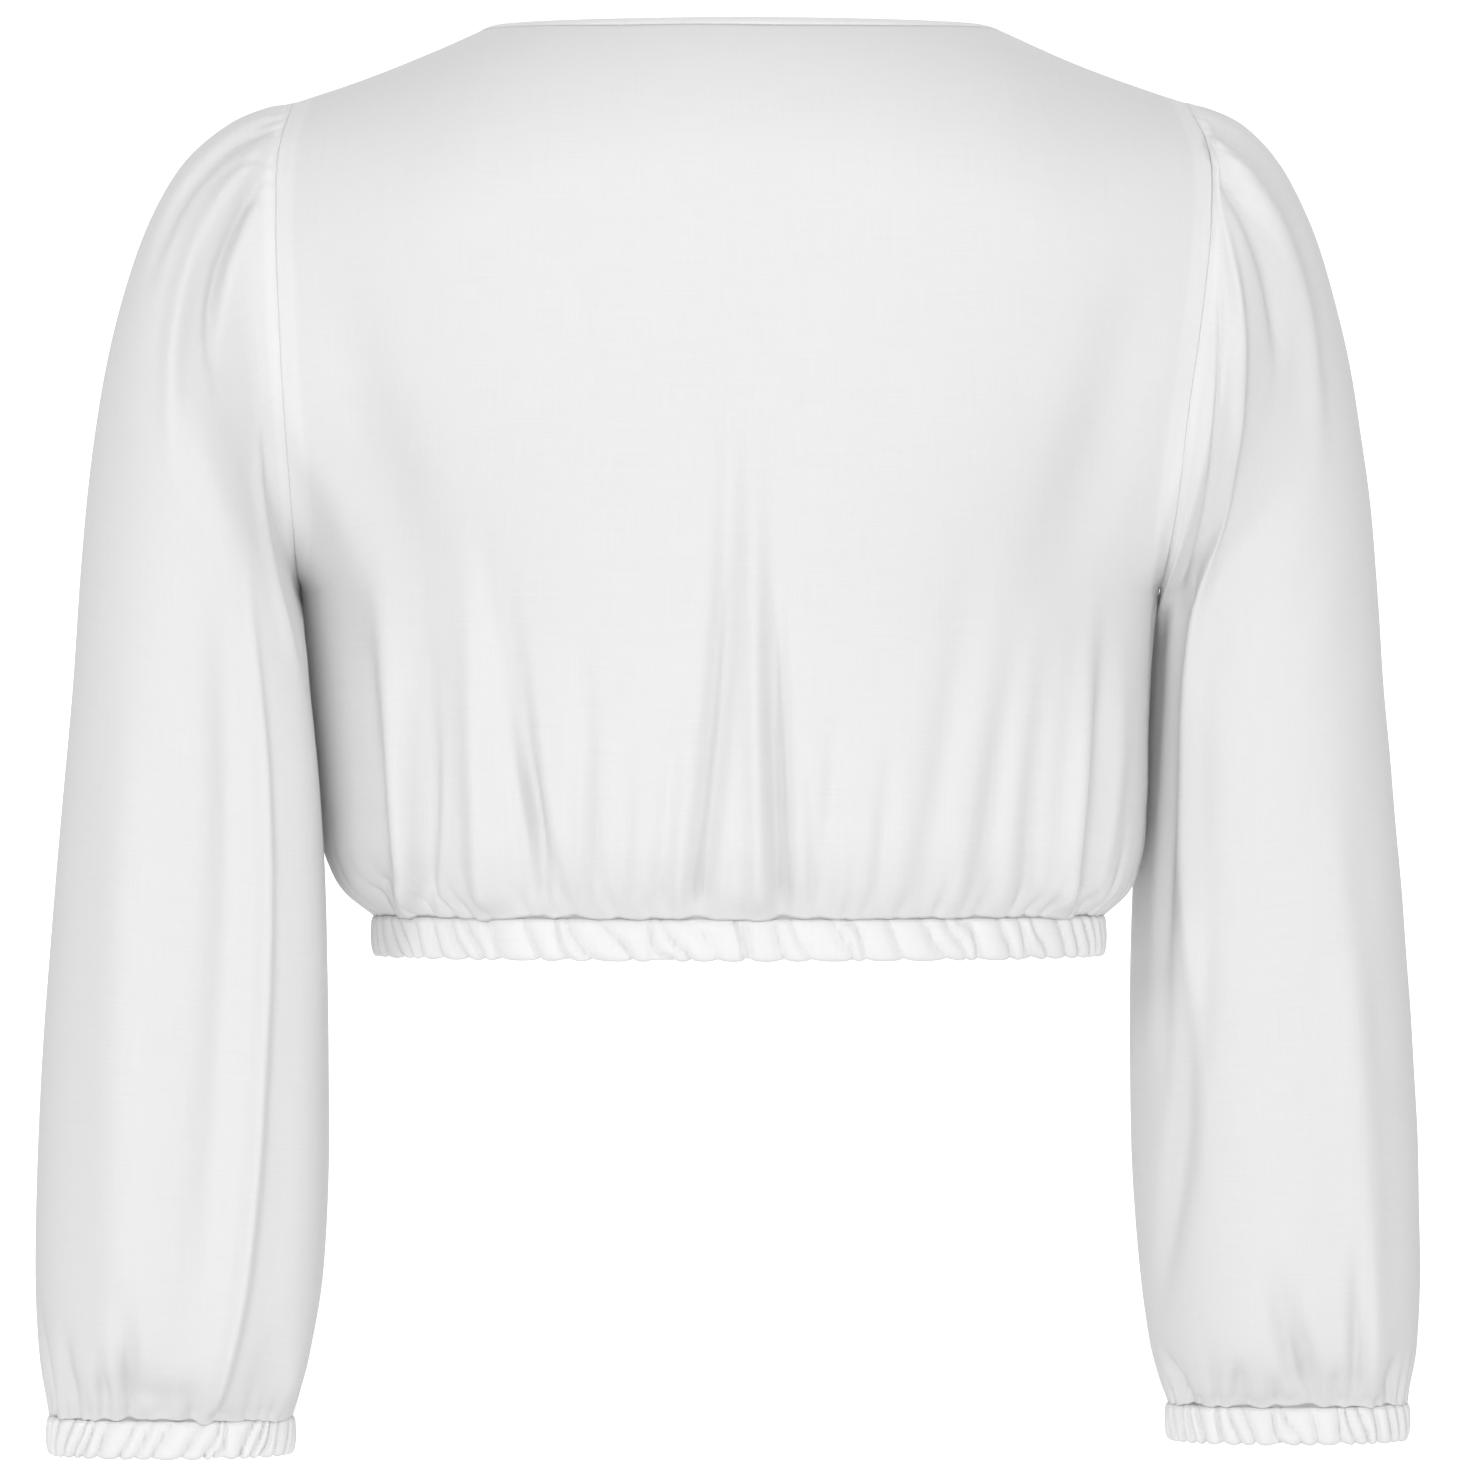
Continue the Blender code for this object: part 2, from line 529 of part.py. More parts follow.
def neckline_normals(points, grid_normals, face):
    """The body's normals on the neckline. Near the shoulder's ridge they come from its rounding."""
    x, y, z = points.T
    above_round = np.clip(z - shoulder_height(np.abs(x)) + SHOULDER_ROUND, 0, None)
    slope = -2 * SHOULDER_RISE_AT_NECK * x / NECK_POINT_X**2
    level = above_round / SHOULDER_ROUND**2
    rounding = np.stack([-slope * level, (y - SEAM_Y) / depth_at(z, face) ** 2, level], axis=-1)
    rounding /= np.linalg.norm(rounding, axis=-1, keepdims=True)
    from_ridge = ease((shoulder_height(np.abs(x)) - z - 0.012) / 0.030)[:, None]
    return rounding * (1 - from_ridge) + grid_normals * from_ridge


def neck_loop():
    """Points of the neckline once round, and the surface's normals there."""
    up = np.array([0.992, 1.0])
    loops, normals = [], []
    for face in ("back", "front"):
        across = np.linspace(-1, 1, ACROSS_COUNT[face])
        share = across[np.abs(across) < 0.5001]
        surface = body_surface(share[None, :], up[:, None], face)
        points = surface[-1]
        normal = neckline_normals(points, (normals_of(surface, False) * -FACE_SIGN[face])[-1], face)
        points[:, 1] -= FACE_SIGN[face] * (SEAM_GAP / 2 + SEAM_LEAN)
        order = slice(None, -1) if face == "back" else slice(None, 0, -1)
        loops.append(points[order])
        normals.append(normal[order])
    return np.concatenate(loops), np.concatenate(normals)


def make_binding():
    """A narrow folded strip that carries the body's surface on round the neck."""
    loop, normal = neck_loop()
    normal = (np.roll(normal, 1, axis=0) + 2 * normal + np.roll(normal, -1, axis=0)) / 4
    along = np.roll(loop, -1, axis=0) - np.roll(loop, 1, axis=0)
    rise = np.cross(normal, along)
    rise /= np.linalg.norm(rise, axis=-1, keepdims=True)
    centre = loop.mean(axis=0)
    if ((centre - loop) * rise).sum() < 0:
        rise = -rise
    normal = np.cross(along, rise)
    normal /= np.linalg.norm(normal, axis=-1, keepdims=True)
    if (normal[:, 2] < 0).sum() > len(normal) / 2:
        normal = -normal
    low, high = loop + rise * SEAM_GAP * 2.5, loop + rise * BINDING_WIDE
    rows = [low, low - normal * BINDING_CLOTH, high - normal * BINDING_CLOTH, high]
    return add_piece("neck_binding", np.array(rows), closed_rows=True, closed_columns=True)


for old in list(bpy.data.objects):
    bpy.data.objects.remove(old)
blouse = bpy.data.collections.new("dirndl_blouse")
bpy.context.scene.collection.children.link(blouse)

for body_face in ("back", "front"):
    make_panel(body_face)
for arm_side in ("left", "right"):
    make_sleeve(arm_side)
    gathered_ring("cuff_" + arm_side, cuff_plan(arm_side), CUFF_TALL, CUFF_GATHERS, 0.0008)
gathered_ring("hem_casing", hem_plan, CASING_TALL, HEM_GATHERS, 0.0011)
make_binding()
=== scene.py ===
# %% [markdown]
# A cropped dirndl blouse in white cotton, seen from behind, hollow and filled out as when it is
# worn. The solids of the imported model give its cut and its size. This script lays fine cloth over
# the same form, with the gathers, creases, stitches and weave that the solids are too plain for.
# Each piece replaces its solid. All lengths are in metres. The front faces -Y, so the camera
# stands on the +Y side and sees the wearer's left sleeve on the left.

# %% Load the frame
from collections import namedtuple

import bpy
import numpy as np
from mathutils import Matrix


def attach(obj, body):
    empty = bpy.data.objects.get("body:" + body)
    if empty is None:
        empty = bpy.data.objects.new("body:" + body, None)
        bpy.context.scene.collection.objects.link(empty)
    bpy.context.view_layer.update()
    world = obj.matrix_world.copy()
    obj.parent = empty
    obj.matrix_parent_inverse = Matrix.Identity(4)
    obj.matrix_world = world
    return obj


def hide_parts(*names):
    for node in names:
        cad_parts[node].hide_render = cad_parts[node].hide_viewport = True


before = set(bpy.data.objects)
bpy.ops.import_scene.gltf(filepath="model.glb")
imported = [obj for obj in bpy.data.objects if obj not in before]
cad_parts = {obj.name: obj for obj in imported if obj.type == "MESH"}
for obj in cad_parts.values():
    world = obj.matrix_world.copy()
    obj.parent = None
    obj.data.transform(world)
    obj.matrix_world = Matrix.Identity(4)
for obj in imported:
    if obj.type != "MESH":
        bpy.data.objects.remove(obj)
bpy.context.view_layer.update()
print("nodes:", sorted(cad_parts))

# %% [markdown]
# The form of a garment is easiest to control by a few sections. Each row here says how wide and
# how deep the body is at one height, and a smooth curve joins the rows. The blouse sits a little
# unevenly, so the wearer's left and right each have a column. The outline of each view could
# have been drawn point by point, but a table of sections stays short and gives all views at once.

# %% Sections of the body and the sleeves
BodySection = namedtuple("BodySection", "height left right back front")


def table(kind, *rows):
    """Named rows from plain ones."""
    return [kind(*row) for row in rows]


BODY_SECTIONS = table(
    BodySection,
    (-0.3775, 0.1550, 0.1540, 0.0880, 0.0920),
    (-0.3690, 0.1660, 0.1635, 0.0955, 0.1020),
    (-0.3550, 0.1745, 0.1695, 0.1020, 0.1150),
    (-0.3300, 0.1782, 0.1722, 0.1050, 0.1290),
    (-0.2950, 0.1812, 0.1730, 0.1055, 0.1430),
    (-0.2600, 0.1845, 0.1752, 0.1060, 0.1520),
    (-0.2390, 0.1858, 0.1776, 0.1070, 0.1530),
    (-0.2100, 0.1868, 0.1818, 0.1085, 0.1480),
    (-0.1700, 0.1892, 0.1858, 0.1105, 0.1330),
    (-0.1250, 0.1915, 0.1920, 0.1110, 0.1120),
    (-0.0850, 0.1930, 0.1960, 0.1080, 0.0980),
    (-0.0550, 0.1925, 0.1955, 0.1030, 0.0900),
    (-0.0335, 0.1880, 0.1880, 0.0990, 0.0850),
    (0.0000, 0.1850, 0.1850, 0.0940, 0.0800),
)

# A sleeve's ring, by the places of its outer and inner end as seen from behind. The inner end
# differs between the sleeves, because the body's two sides do
SleeveSection = namedtuple(
    "SleeveSection", "out_x out_z left_in_x right_in_x in_z half_depth middle_y"
)
SLEEVE_SECTIONS = table(
    SleeveSection,
    (0.1880, -0.0335, 0.1858, 0.1776, -0.2390, 0.0560, 0.009),
    (0.1995, -0.0365, 0.1859, 0.1779, -0.2412, 0.0590, 0.009),
    (0.2145, -0.0440, 0.1855, 0.1775, -0.2440, 0.0612, 0.009),
    (0.2310, -0.0600, 0.1844, 0.1768, -0.2478, 0.0622, 0.008),
    (0.2440, -0.0830, 0.1831, 0.1760, -0.2530, 0.0625, 0.007),
    (0.2540, -0.1110, 0.1820, 0.1752, -0.2598, 0.0622, 0.006),
    (0.2625, -0.1450, 0.1809, 0.1741, -0.2688, 0.0617, 0.005),
    (0.2690, -0.1860, 0.1800, 0.1731, -0.2815, 0.0610, 0.004),
    (0.2735, -0.2320, 0.1782, 0.1720, -0.2995, 0.0603, 0.004),
    (0.2770, -0.2800, 0.1758, 0.1706, -0.3250, 0.0597, 0.004),
    (0.2815, -0.3300, 0.1738, 0.1684, -0.3600, 0.0592, 0.003),
    (0.2860, -0.3820, 0.1730, 0.1672, -0.4000, 0.0588, 0.001),
    (0.2900, -0.4320, 0.1728, 0.1672, -0.4420, 0.0582, -0.001),
    (0.2925, -0.4820, 0.1730, 0.1682, -0.4860, 0.0572, -0.003),
    (0.2936, -0.5280, 0.1755, 0.1715, -0.5290, 0.0550, -0.005),
    (0.2925, -0.5600, 0.1805, 0.1757, -0.5605, 0.0490, -0.006),
    (0.2900, -0.5780, 0.1850, 0.1802, -0.5782, 0.0385, -0.006),
    (0.2885, -0.5875, 0.1880, 0.1835, -0.5875, 0.0285, -0.006),
)
LAST_RING = len(SLEEVE_SECTIONS) - 1

# How far out and back each sleeve lies, beside the mean of the two
SleeveHang = namedtuple("SleeveHang", "outer back")
SLEEVE_HANG = {
    "left": SleeveHang(0.0022, 0.030),
    "right": SleeveHang(-0.0022, -0.030),
}

FACE_SIGN = {"back": 1.0, "front": -1.0}
SIDE_SIGN = {"left": 1.0, "right": -1.0}
print(len(BODY_SECTIONS), "body sections,", len(SLEEVE_SECTIONS), "sleeve rings")

# %% [markdown]
# Three small helpers do most of the shaping: a smooth curve through table rows, an easing step,
# and the cross-section of one soft fold. A bell curve is a good fold, because it has no hard
# edges and dies out by itself, so folds can simply be added to each other.

# %% Curves, easing and folds


def curve_through(at, places, values):
    """The values at `at` of a smooth curve through the points (places, values)."""
    places = np.asarray(places, float)
    values = np.asarray(values, float)
    slopes = np.gradient(values, places, axis=0)
    at = np.clip(at, places[0], places[-1])
    i = np.clip(np.searchsorted(places, at) - 1, 0, len(places) - 2)
    step = places[i + 1] - places[i]
    u = (at - places[i]) / step
    extra = (1,) * (values.ndim - 1)
    u = u.reshape(u.shape + extra)
    step = step.reshape(step.shape + extra)
    start = (1 + 2 * u) * (1 - u) ** 2 * values[i] + u * (1 - u) ** 2 * step * slopes[i]
    end = u * u * (3 - 2 * u) * values[i + 1] + u * u * (u - 1) * step * slopes[i + 1]
    return start + end


def ease(x):
    """0 up to x = 0, 1 from x = 1, and smooth between."""
    x = np.clip(x, 0, 1)
    return x * x * (3 - 2 * x)


def bump(distance, half_width):
    """A soft fold's cross-section: 1 on its line, and about 0 at two half widths."""
    return np.exp(-((distance / half_width) ** 2))


def soft_waves(u, v, seed, count=7, longest=0.16, shortest=0.05):
    """Broad, shallow unevenness from -1 to 1, as pressed cotton has. u and v are in metres."""
    random = np.random.default_rng(seed)
    total = np.zeros(np.broadcast(u, v).shape)
    for _ in range(count):
        direction = random.uniform(0, np.pi)
        length = random.uniform(shortest, longest)
        phase = random.uniform(0, 2 * np.pi)
        along = u * np.cos(direction) + v * np.sin(direction)
        total += np.sin(2 * np.pi * along / length + phase)
    return total / count


# %% [markdown]
# The body is two panels on one egg-shaped form. Seen from above, each is half an ellipse below
# the arms and gets squarer over the shoulder blades. Near the shoulder's ridge the depth shrinks
# along a quarter circle, so that the cloth rolls over the shoulder into the seam. The armhole's
# edge is where the depth ends, so panel and sleeve can share it.

# %% The body's surface
CASING_TOP = -0.3775
CASING_TALL = 0.0163
SEAM_Y = 0.005
SEAM_GAP = 0.0003
SHOULDER_TIP_X = 0.188
SHOULDER_TIP_Z = -0.0335
NECK_POINT_X = 0.110
NECK_POINT_Z = -0.0035
NECK_DROP = {"back": 0.003, "front": 0.118}
NECK_ROUND = 2.5
SHOULDER_ROUND = 0.085
SHOULDER_RISE_AT_NECK = 0.020
SHOULDER_SAG = 0.0016
UNDERARM_Z = -0.239
ARMHOLE_WIDEST_Z = -0.150
ARMHOLE_REACH = {"back": 0.060, "front": 0.052}
EDGE_FADE = 0.035
EDGE_HOLD = 9
SQUARER_FROM_Z = -0.30
SQUARER_OVER = 0.14


def section_value(z, column):
    """A column of the body's sections, at the heights z."""
    heights = [section.height for section in BODY_SECTIONS]
    return curve_through(z, heights, [getattr(section, column) for section in BODY_SECTIONS])


def half_width_beside(x, z):
    """The half width on the side that each x lies on."""
    return np.where(x >= 0, section_value(z, "left"), section_value(z, "right"))


def shoulder_height(x):
    """The height of the shoulder's ridge above this x, carried on over the neck."""
    slope = (SHOULDER_TIP_Z - NECK_POINT_Z) / (SHOULDER_TIP_X - NECK_POINT_X)
    along = np.clip((x - NECK_POINT_X) / (SHOULDER_TIP_X - NECK_POINT_X), 0, 1)
    seam = NECK_POINT_Z + slope * (x - NECK_POINT_X) - SHOULDER_SAG * np.sin(np.pi * along)
    neck = NECK_POINT_Z + SHOULDER_RISE_AT_NECK * (1 - (x / NECK_POINT_X) ** 2)
    return np.where(x > NECK_POINT_X, seam, neck)


def armhole_edge_y(z, face):
    """How far to the back or front the armhole's edge, or the side seam below it, lies."""
    below = np.clip((ARMHOLE_WIDEST_Z - z) / (ARMHOLE_WIDEST_Z - UNDERARM_Z), 0, 1)
    return SEAM_Y + FACE_SIGN[face] * ARMHOLE_REACH[face] * np.sqrt(1 - below**2)


def rounded_to_shoulder(y, x, z):
    below = np.clip((shoulder_height(x) - z) / SHOULDER_ROUND, 0, 1)
    return SEAM_Y + (y - SEAM_Y) * np.sqrt(1 - (1 - below) ** 2)


def top_outline(share, face):
    """The x and z of a panel's top edge: neckline up to a share of 0.5, then shoulder seam."""
    from_middle = np.clip(share / 0.5, 0, 1)
    neck_x = NECK_POINT_X * from_middle
    neck_z = NECK_POINT_Z - NECK_DROP[face] * (1 - from_middle**NECK_ROUND)
    seam_x = NECK_POINT_X + (SHOULDER_TIP_X - NECK_POINT_X) * np.clip(share / 0.5 - 1, 0, 1)
    on_neck = share < 0.5
    return np.where(on_neck, neck_x, seam_x), np.where(on_neck, neck_z, shoulder_height(seam_x))


def body_surface(across, up, face):
    """Points of a panel without folds. across runs from -1 to 1, and up from the casing's 0 to 1."""
    share = np.abs(across)
    top_x, top_z = top_outline(share, face)
    z = CASING_TOP + (top_z - CASING_TOP) * up
    low = np.sin(share * np.pi / 2)
    out = low + (top_x / half_width_beside(across, top_z) - low) * ease(up)
    x = half_width_beside(across, z) * out
    lifted = ease((z - SQUARER_FROM_Z) / SQUARER_OVER)
    swell = np.clip(1 - out ** (2 + 0.5 * lifted), 0, 1) ** (0.5 + 0.5 * lifted)
    edge = armhole_edge_y(z, face)
    above = ease((z - UNDERARM_Z + EDGE_FADE) / (ARMHOLE_WIDEST_Z - UNDERARM_Z + EDGE_FADE))
    soft_edge = SEAM_Y + FACE_SIGN[face] * ARMHOLE_REACH[face] * above
    edge = soft_edge + (edge - soft_edge) * share**EDGE_HOLD
    y = edge + (FACE_SIGN[face] * section_value(z, face) - edge) * swell
    y = rounded_to_shoulder(y, x, z) + FACE_SIGN[face] * SEAM_GAP / 4
    return np.stack([np.sign(across) * x, y, z], axis=-1)


# %% [markdown]
# Elastic pulls the cloth into small gathers. On the real blouse their spacing is uneven, and each
# crease runs a different way up into the cloth. A seeded random list gives each gather its place,
# depth and length once. The casing and the cloth above it then read the same list, so a crease
# carries on across the seam.

# %% Gathers
Gathers = namedtuple("Gathers", "place depth length lean")
HEM_GATHERS = 72
CUFF_GATHERS = 40
HEAD_GATHERS = 22
LEAN_A_METRE = 0.06
CREASE_SPREAD = 1.3
SPREAD_HEIGHT = 0.03


def gather_row(count, seed, depth, length):
    """Uneven gathers at shares of one turn, sorted by place."""
    random = np.random.default_rng(seed)
    place = (np.arange(count) + random.uniform(-0.28, 0.28, count)) / count
    size = random.uniform(0.45, 1.0, count)
    reach = random.uniform(0.25, 1.0, count) ** 1.5
    return Gathers(place, depth * size, length * reach, random.uniform(0.1, 1.5, count))


def puffs(turn, gathers):
    """From 0 in each gather's crease to 1 on the puff between two creases."""
    place = np.concatenate([gathers.place[-1:] - 1, gathers.place, gathers.place[:1] + 1])
    turn = np.mod(turn, 1)
    i = np.clip(np.searchsorted(place, turn) - 1, 0, len(place) - 2)
    t = (turn - place[i]) / (place[i + 1] - place[i])
    return np.sqrt(np.clip(4 * t * (1 - t), 0, 1))


def creases(turn, above, gathers, round_length, crease_width=0.0017):
    """How far the gathers press the cloth in, at a share of the turn and a height above."""
    relief = np.zeros(np.broadcast(turn, above).shape)
    for place, depth, length, lean in zip(*gathers):
        place = place + lean * LEAN_A_METRE * above
        aside = (np.mod(turn - place + 0.5, 1) - 0.5) * round_length
        width = crease_width * (1 + CREASE_SPREAD * above / SPREAD_HEIGHT)
        relief -= depth * bump(aside, width) * np.exp(-((above / length) ** 2))
    return relief


hem_gathers = gather_row(HEM_GATHERS, seed=11, depth=0.0020, length=0.042)
cuff_gathers = {
    "left": gather_row(CUFF_GATHERS, seed=21, depth=0.0022, length=0.032),
    "right": gather_row(CUFF_GATHERS, seed=22, depth=0.0022, length=0.032),
}
print(HEM_GATHERS, "hem gathers,", CUFF_GATHERS, "in each cuff")

# %% [markdown]
# The larger folds can't be left to chance: they show where this blouse is pulled. Each is a row
# with the places of its top, middle and foot, so that it can lean and bend, and with its depth and
# half width. A depth below zero is a trough. The long pair beside the middle of the back comes
# from between the shoulder blades, and the slanting ones run down from the armholes.

# %% Folds of the body
BodyFold = namedtuple("BodyFold", "top_x top_z mid_x mid_z foot_x foot_z depth half_width")
BODY_FOLDS = {
    "back": table(
        BodyFold,
        (0.1530, -0.205, 0.1441, -0.310, 0.1390, -0.378, 0.0044, 0.0055),
        (0.1620, -0.200, 0.1560, -0.290, 0.1500, -0.378, -0.0060, 0.0070),
        (0.1345, -0.205, 0.1300, -0.310, 0.1315, -0.378, -0.0042, 0.0075),
        (0.1251, -0.265, 0.1230, -0.330, 0.1262, -0.378, 0.0018, 0.0026),
        (0.1142, -0.205, 0.1100, -0.290, 0.1062, -0.378, 0.0040, 0.0055),
        (0.1100, -0.200, 0.0930, -0.300, 0.0720, -0.378, -0.0034, 0.0046),
        (0.0990, -0.215, 0.0880, -0.300, 0.0820, -0.378, -0.0050, 0.0050),
        (0.0940, -0.225, 0.0830, -0.310, 0.0760, -0.378, 0.0020, 0.0036),
        (0.1025, -0.260, 0.0960, -0.320, 0.0900, -0.378, -0.0026, 0.0040),
        (0.0655, -0.250, 0.0640, -0.310, 0.0665, -0.378, -0.0032, 0.0046),
        (0.0480, -0.290, 0.0470, -0.330, 0.0490, -0.378, -0.0018, 0.0036),
        (0.0256, -0.272, 0.0289, -0.320, 0.0330, -0.378, -0.0024, 0.0044),
        (0.0030, -0.130, 0.0068, -0.260, 0.0185, -0.378, -0.0062, 0.0050),
        (-0.0046, -0.125, -0.0060, -0.260, -0.0072, -0.378, 0.0028, 0.0046),
        (-0.0138, -0.190, -0.0150, -0.290, -0.0189, -0.378, -0.0062, 0.0046),
        (-0.0260, -0.300, -0.0290, -0.330, -0.0310, -0.378, -0.0018, 0.0036),
        (-0.0403, -0.275, -0.0379, -0.320, -0.0342, -0.378, -0.0026, 0.0046),
        (-0.0640, -0.290, -0.0600, -0.330, -0.0570, -0.378, -0.0018, 0.0040),
        (-0.1013, -0.195, -0.0863, -0.300, -0.0741, -0.378, -0.0022, 0.0080),
        (-0.1184, -0.235, -0.1074, -0.310, -0.0990, -0.378, -0.0030, 0.0062),
        (-0.1300, -0.240, -0.1240, -0.300, -0.1180, -0.378, -0.0022, 0.0052),
        (-0.1479, -0.225, -0.1428, -0.300, -0.1360, -0.378, 0.0044, 0.0050),
        (-0.1529, -0.235, -0.1500, -0.310, -0.1440, -0.378, -0.0052, 0.0052),
        (-0.1610, -0.250, -0.1570, -0.310, -0.1480, -0.378, 0.0026, 0.0046),
        (0.1740, -0.080, 0.1560, -0.165, 0.1300, -0.260, -0.0052, 0.0150),
        (-0.1720, -0.080, -0.1530, -0.165, -0.1270, -0.260, -0.0052, 0.0150),
    ),
    "front": table(
        BodyFold,
        (0.1400, -0.270, 0.1350, -0.320, 0.1270, -0.378, -0.0040, 0.0056),
        (0.1230, -0.250, 0.1180, -0.320, 0.1110, -0.378, 0.0030, 0.0050),
        (0.1060, -0.235, 0.1020, -0.310, 0.0950, -0.378, -0.0046, 0.0054),
        (0.0700, -0.250, 0.0680, -0.320, 0.0640, -0.378, -0.0040, 0.0048),
        (0.0370, -0.230, 0.0360, -0.310, 0.0330, -0.378, -0.0036, 0.0046),
        (0.0080, -0.200, 0.0070, -0.300, 0.0060, -0.378, -0.0048, 0.0050),
        (-0.0200, -0.240, -0.0210, -0.310, -0.0230, -0.378, -0.0038, 0.0048),
        (-0.0530, -0.225, -0.0510, -0.310, -0.0480, -0.378, -0.0042, 0.0050),
        (-0.0700, -0.250, -0.0680, -0.310, -0.0630, -0.378, 0.0028, 0.0046),
        (-0.0880, -0.250, -0.0860, -0.320, -0.0800, -0.378, -0.0046, 0.0054),
        (-0.1250, -0.240, -0.1180, -0.315, -0.1110, -0.378, -0.0040, 0.0056),
        (0.1500, -0.110, 0.1350, -0.170, 0.1150, -0.215, -0.0030, 0.0150),
        (-0.1500, -0.110, -0.1350, -0.170, -0.1150, -0.215, -0.0030, 0.0150),
    ),
}
HEM_ROUND = 0.78
FOLD_GAIN = 1.25
FOLD_FADE = 0.75
FOOT_FADE = 0.4
LEFT_AT_CASING = 0.3
EDGE_CALM = 0.012
BODY_UNEVEN = 0.0005
HELD_BY_SEAM = 0.45
SEAM_REACH = 0.006


def hem_turn(across, face):
    """The share of the hem's turn, from the centre back, that a panel's column ends at."""
    return across / 4 if face == "back" else 0.5 - across / 4


def body_relief(points, across, face):
    """How far the folds and gathers of a panel stand out at each point."""
    x, z = points[..., 0], points[..., 2]
    relief = np.zeros_like(x)
    for fold in BODY_FOLDS[face]:
        heights = [fold.foot_z, fold.mid_z, fold.top_z]
        line = curve_through(z, heights, [fold.foot_x, fold.mid_x, fold.top_x])
        height = (z - fold.foot_z) / (fold.top_z - fold.foot_z)
        strength = ease((1 - height) / FOLD_FADE)
        if fold.foot_z > CASING_TOP:
            strength = strength * ease(height / FOOT_FADE)
        relief += FOLD_GAIN * fold.depth * strength * bump(x - line, fold.half_width)
    inside = ease((half_width_beside(x, z) - np.abs(x)) / EDGE_CALM)
    above_casing = LEFT_AT_CASING + (1 - LEFT_AT_CASING) * ease((z - CASING_TOP) / EDGE_CALM)
    relief = relief * inside * above_casing
    relief += BODY_UNEVEN * soft_waves(x, z, seed=31) * inside
    above = z - CASING_TOP
    pressed = creases(hem_turn(across, face), above, hem_gathers, HEM_ROUND)
    return relief + pressed * (HELD_BY_SEAM + (1 - HELD_BY_SEAM) * ease(above / SEAM_REACH))


# %% [markdown]
# Every piece of cloth is made as a grid of points: rows one way, columns round or across. A grid
# keeps the quads tidy and gives the cloth its own flat coordinates for free. These are the
# lengths along the rows and columns, in metres, so the weave later has one true scale
# everywhere. Solidify then gives the sheet its thickness, on the inside.

# %% Grids to meshes
CLOTH = 0.0005


def normals_of(grid, closed):
    """Unit normals of a grid of points, rows by columns."""
    along = np.gradient(grid, axis=0)
    if closed:
        around = (np.roll(grid, -1, axis=1) - np.roll(grid, 1, axis=1)) / 2
    else:
        around = np.gradient(grid, axis=1)
    normals = np.cross(around, along)
    return normals / np.maximum(np.linalg.norm(normals, axis=-1, keepdims=True), 1e-12)


def lengths_along(grid, closed):
    """The mean length across up to each column, and down to each row."""
    wrapped = np.concatenate([grid, grid[:, :1]], axis=1) if closed else grid
    across = np.linalg.norm(np.diff(wrapped, axis=1), axis=-1).mean(axis=0)
    down = np.linalg.norm(np.diff(grid, axis=0), axis=-1).mean(axis=1)
    return np.concatenate([[0], np.cumsum(across)]), np.concatenate([[0], np.cumsum(down)])


def cloth_piece(name, grid, closed=False, tube=False, thickness=CLOTH, layers=None):
    """A smooth piece from a grid. closed joins its last column to its first, tube its rows too."""
    rows, columns = grid.shape[:2]
    r = np.arange(rows if tube else rows - 1)[:, None]
    c = np.arange(columns if closed else columns - 1)[None, :]
    r2, c2 = (r + 1) % rows, (c + 1) % columns
    corners = [r * columns + c, r * columns + c2, r2 * columns + c2, r2 * columns + c]
    faces = np.stack(corners, axis=-1).reshape(-1, 4)
    mesh = bpy.data.meshes.new(name)
    mesh.from_pydata(grid.reshape(-1, 3).tolist(), [], faces.tolist())
    across, down = lengths_along(grid, closed)
    down = np.append(down, down[-1] + down[1])
    left, right, high, low = across[c], across[c + 1], down[r], down[r + 1]
    places = ((left, high), (right, high), (right, low), (left, low))
    flat = np.stack([np.stack(np.broadcast_arrays(*place), axis=-1) for place in places], axis=-2)
    mesh.uv_layers.new(name="cloth").data.foreach_set("uv", flat.reshape(-1).astype(np.float32))
    layer = mesh.attributes.new("layers", "FLOAT", "POINT")
    values = np.zeros(rows * columns) if layers is None else layers.reshape(-1)
    layer.data.foreach_set("value", values.astype(np.float32))
    mesh.shade_smooth()
    piece = bpy.data.objects.new(name, mesh)
    bpy.context.scene.collection.objects.link(piece)
    if thickness:
        wall = piece.modifiers.new("cloth", "SOLIDIFY")
        wall.thickness = thickness
        wall.offset = -1
    return piece


# %% [markdown]
# Back and front are cut in one each. The columns spread evenly round the hem, where the gathers
# are, and the rows are closer near the hem and the shoulder. The seam allowance at the armhole is
# pressed towards the body, and through this thin cotton it shows as a lighter band. The grid's
# `layers` value marks where cloth lies double, and the finish reads it.

# %% Back and front panels
PANEL_COLUMNS = 331
PANEL_ROWS = 150
ALLOWANCE = 0.0088
ALLOWANCE_SOFT = 0.0030
ARMHOLE_FADE = 0.010
SHOWING_THROUGH = 0.5


def rows_between(count, pull=0.55):
    """Shares from 0 to 1, closer together near 0 and near 1."""
    even = np.linspace(0, 1, count)
    return pull * (even - np.sin(2 * np.pi * even) / (2 * np.pi)) + (1 - pull) * even


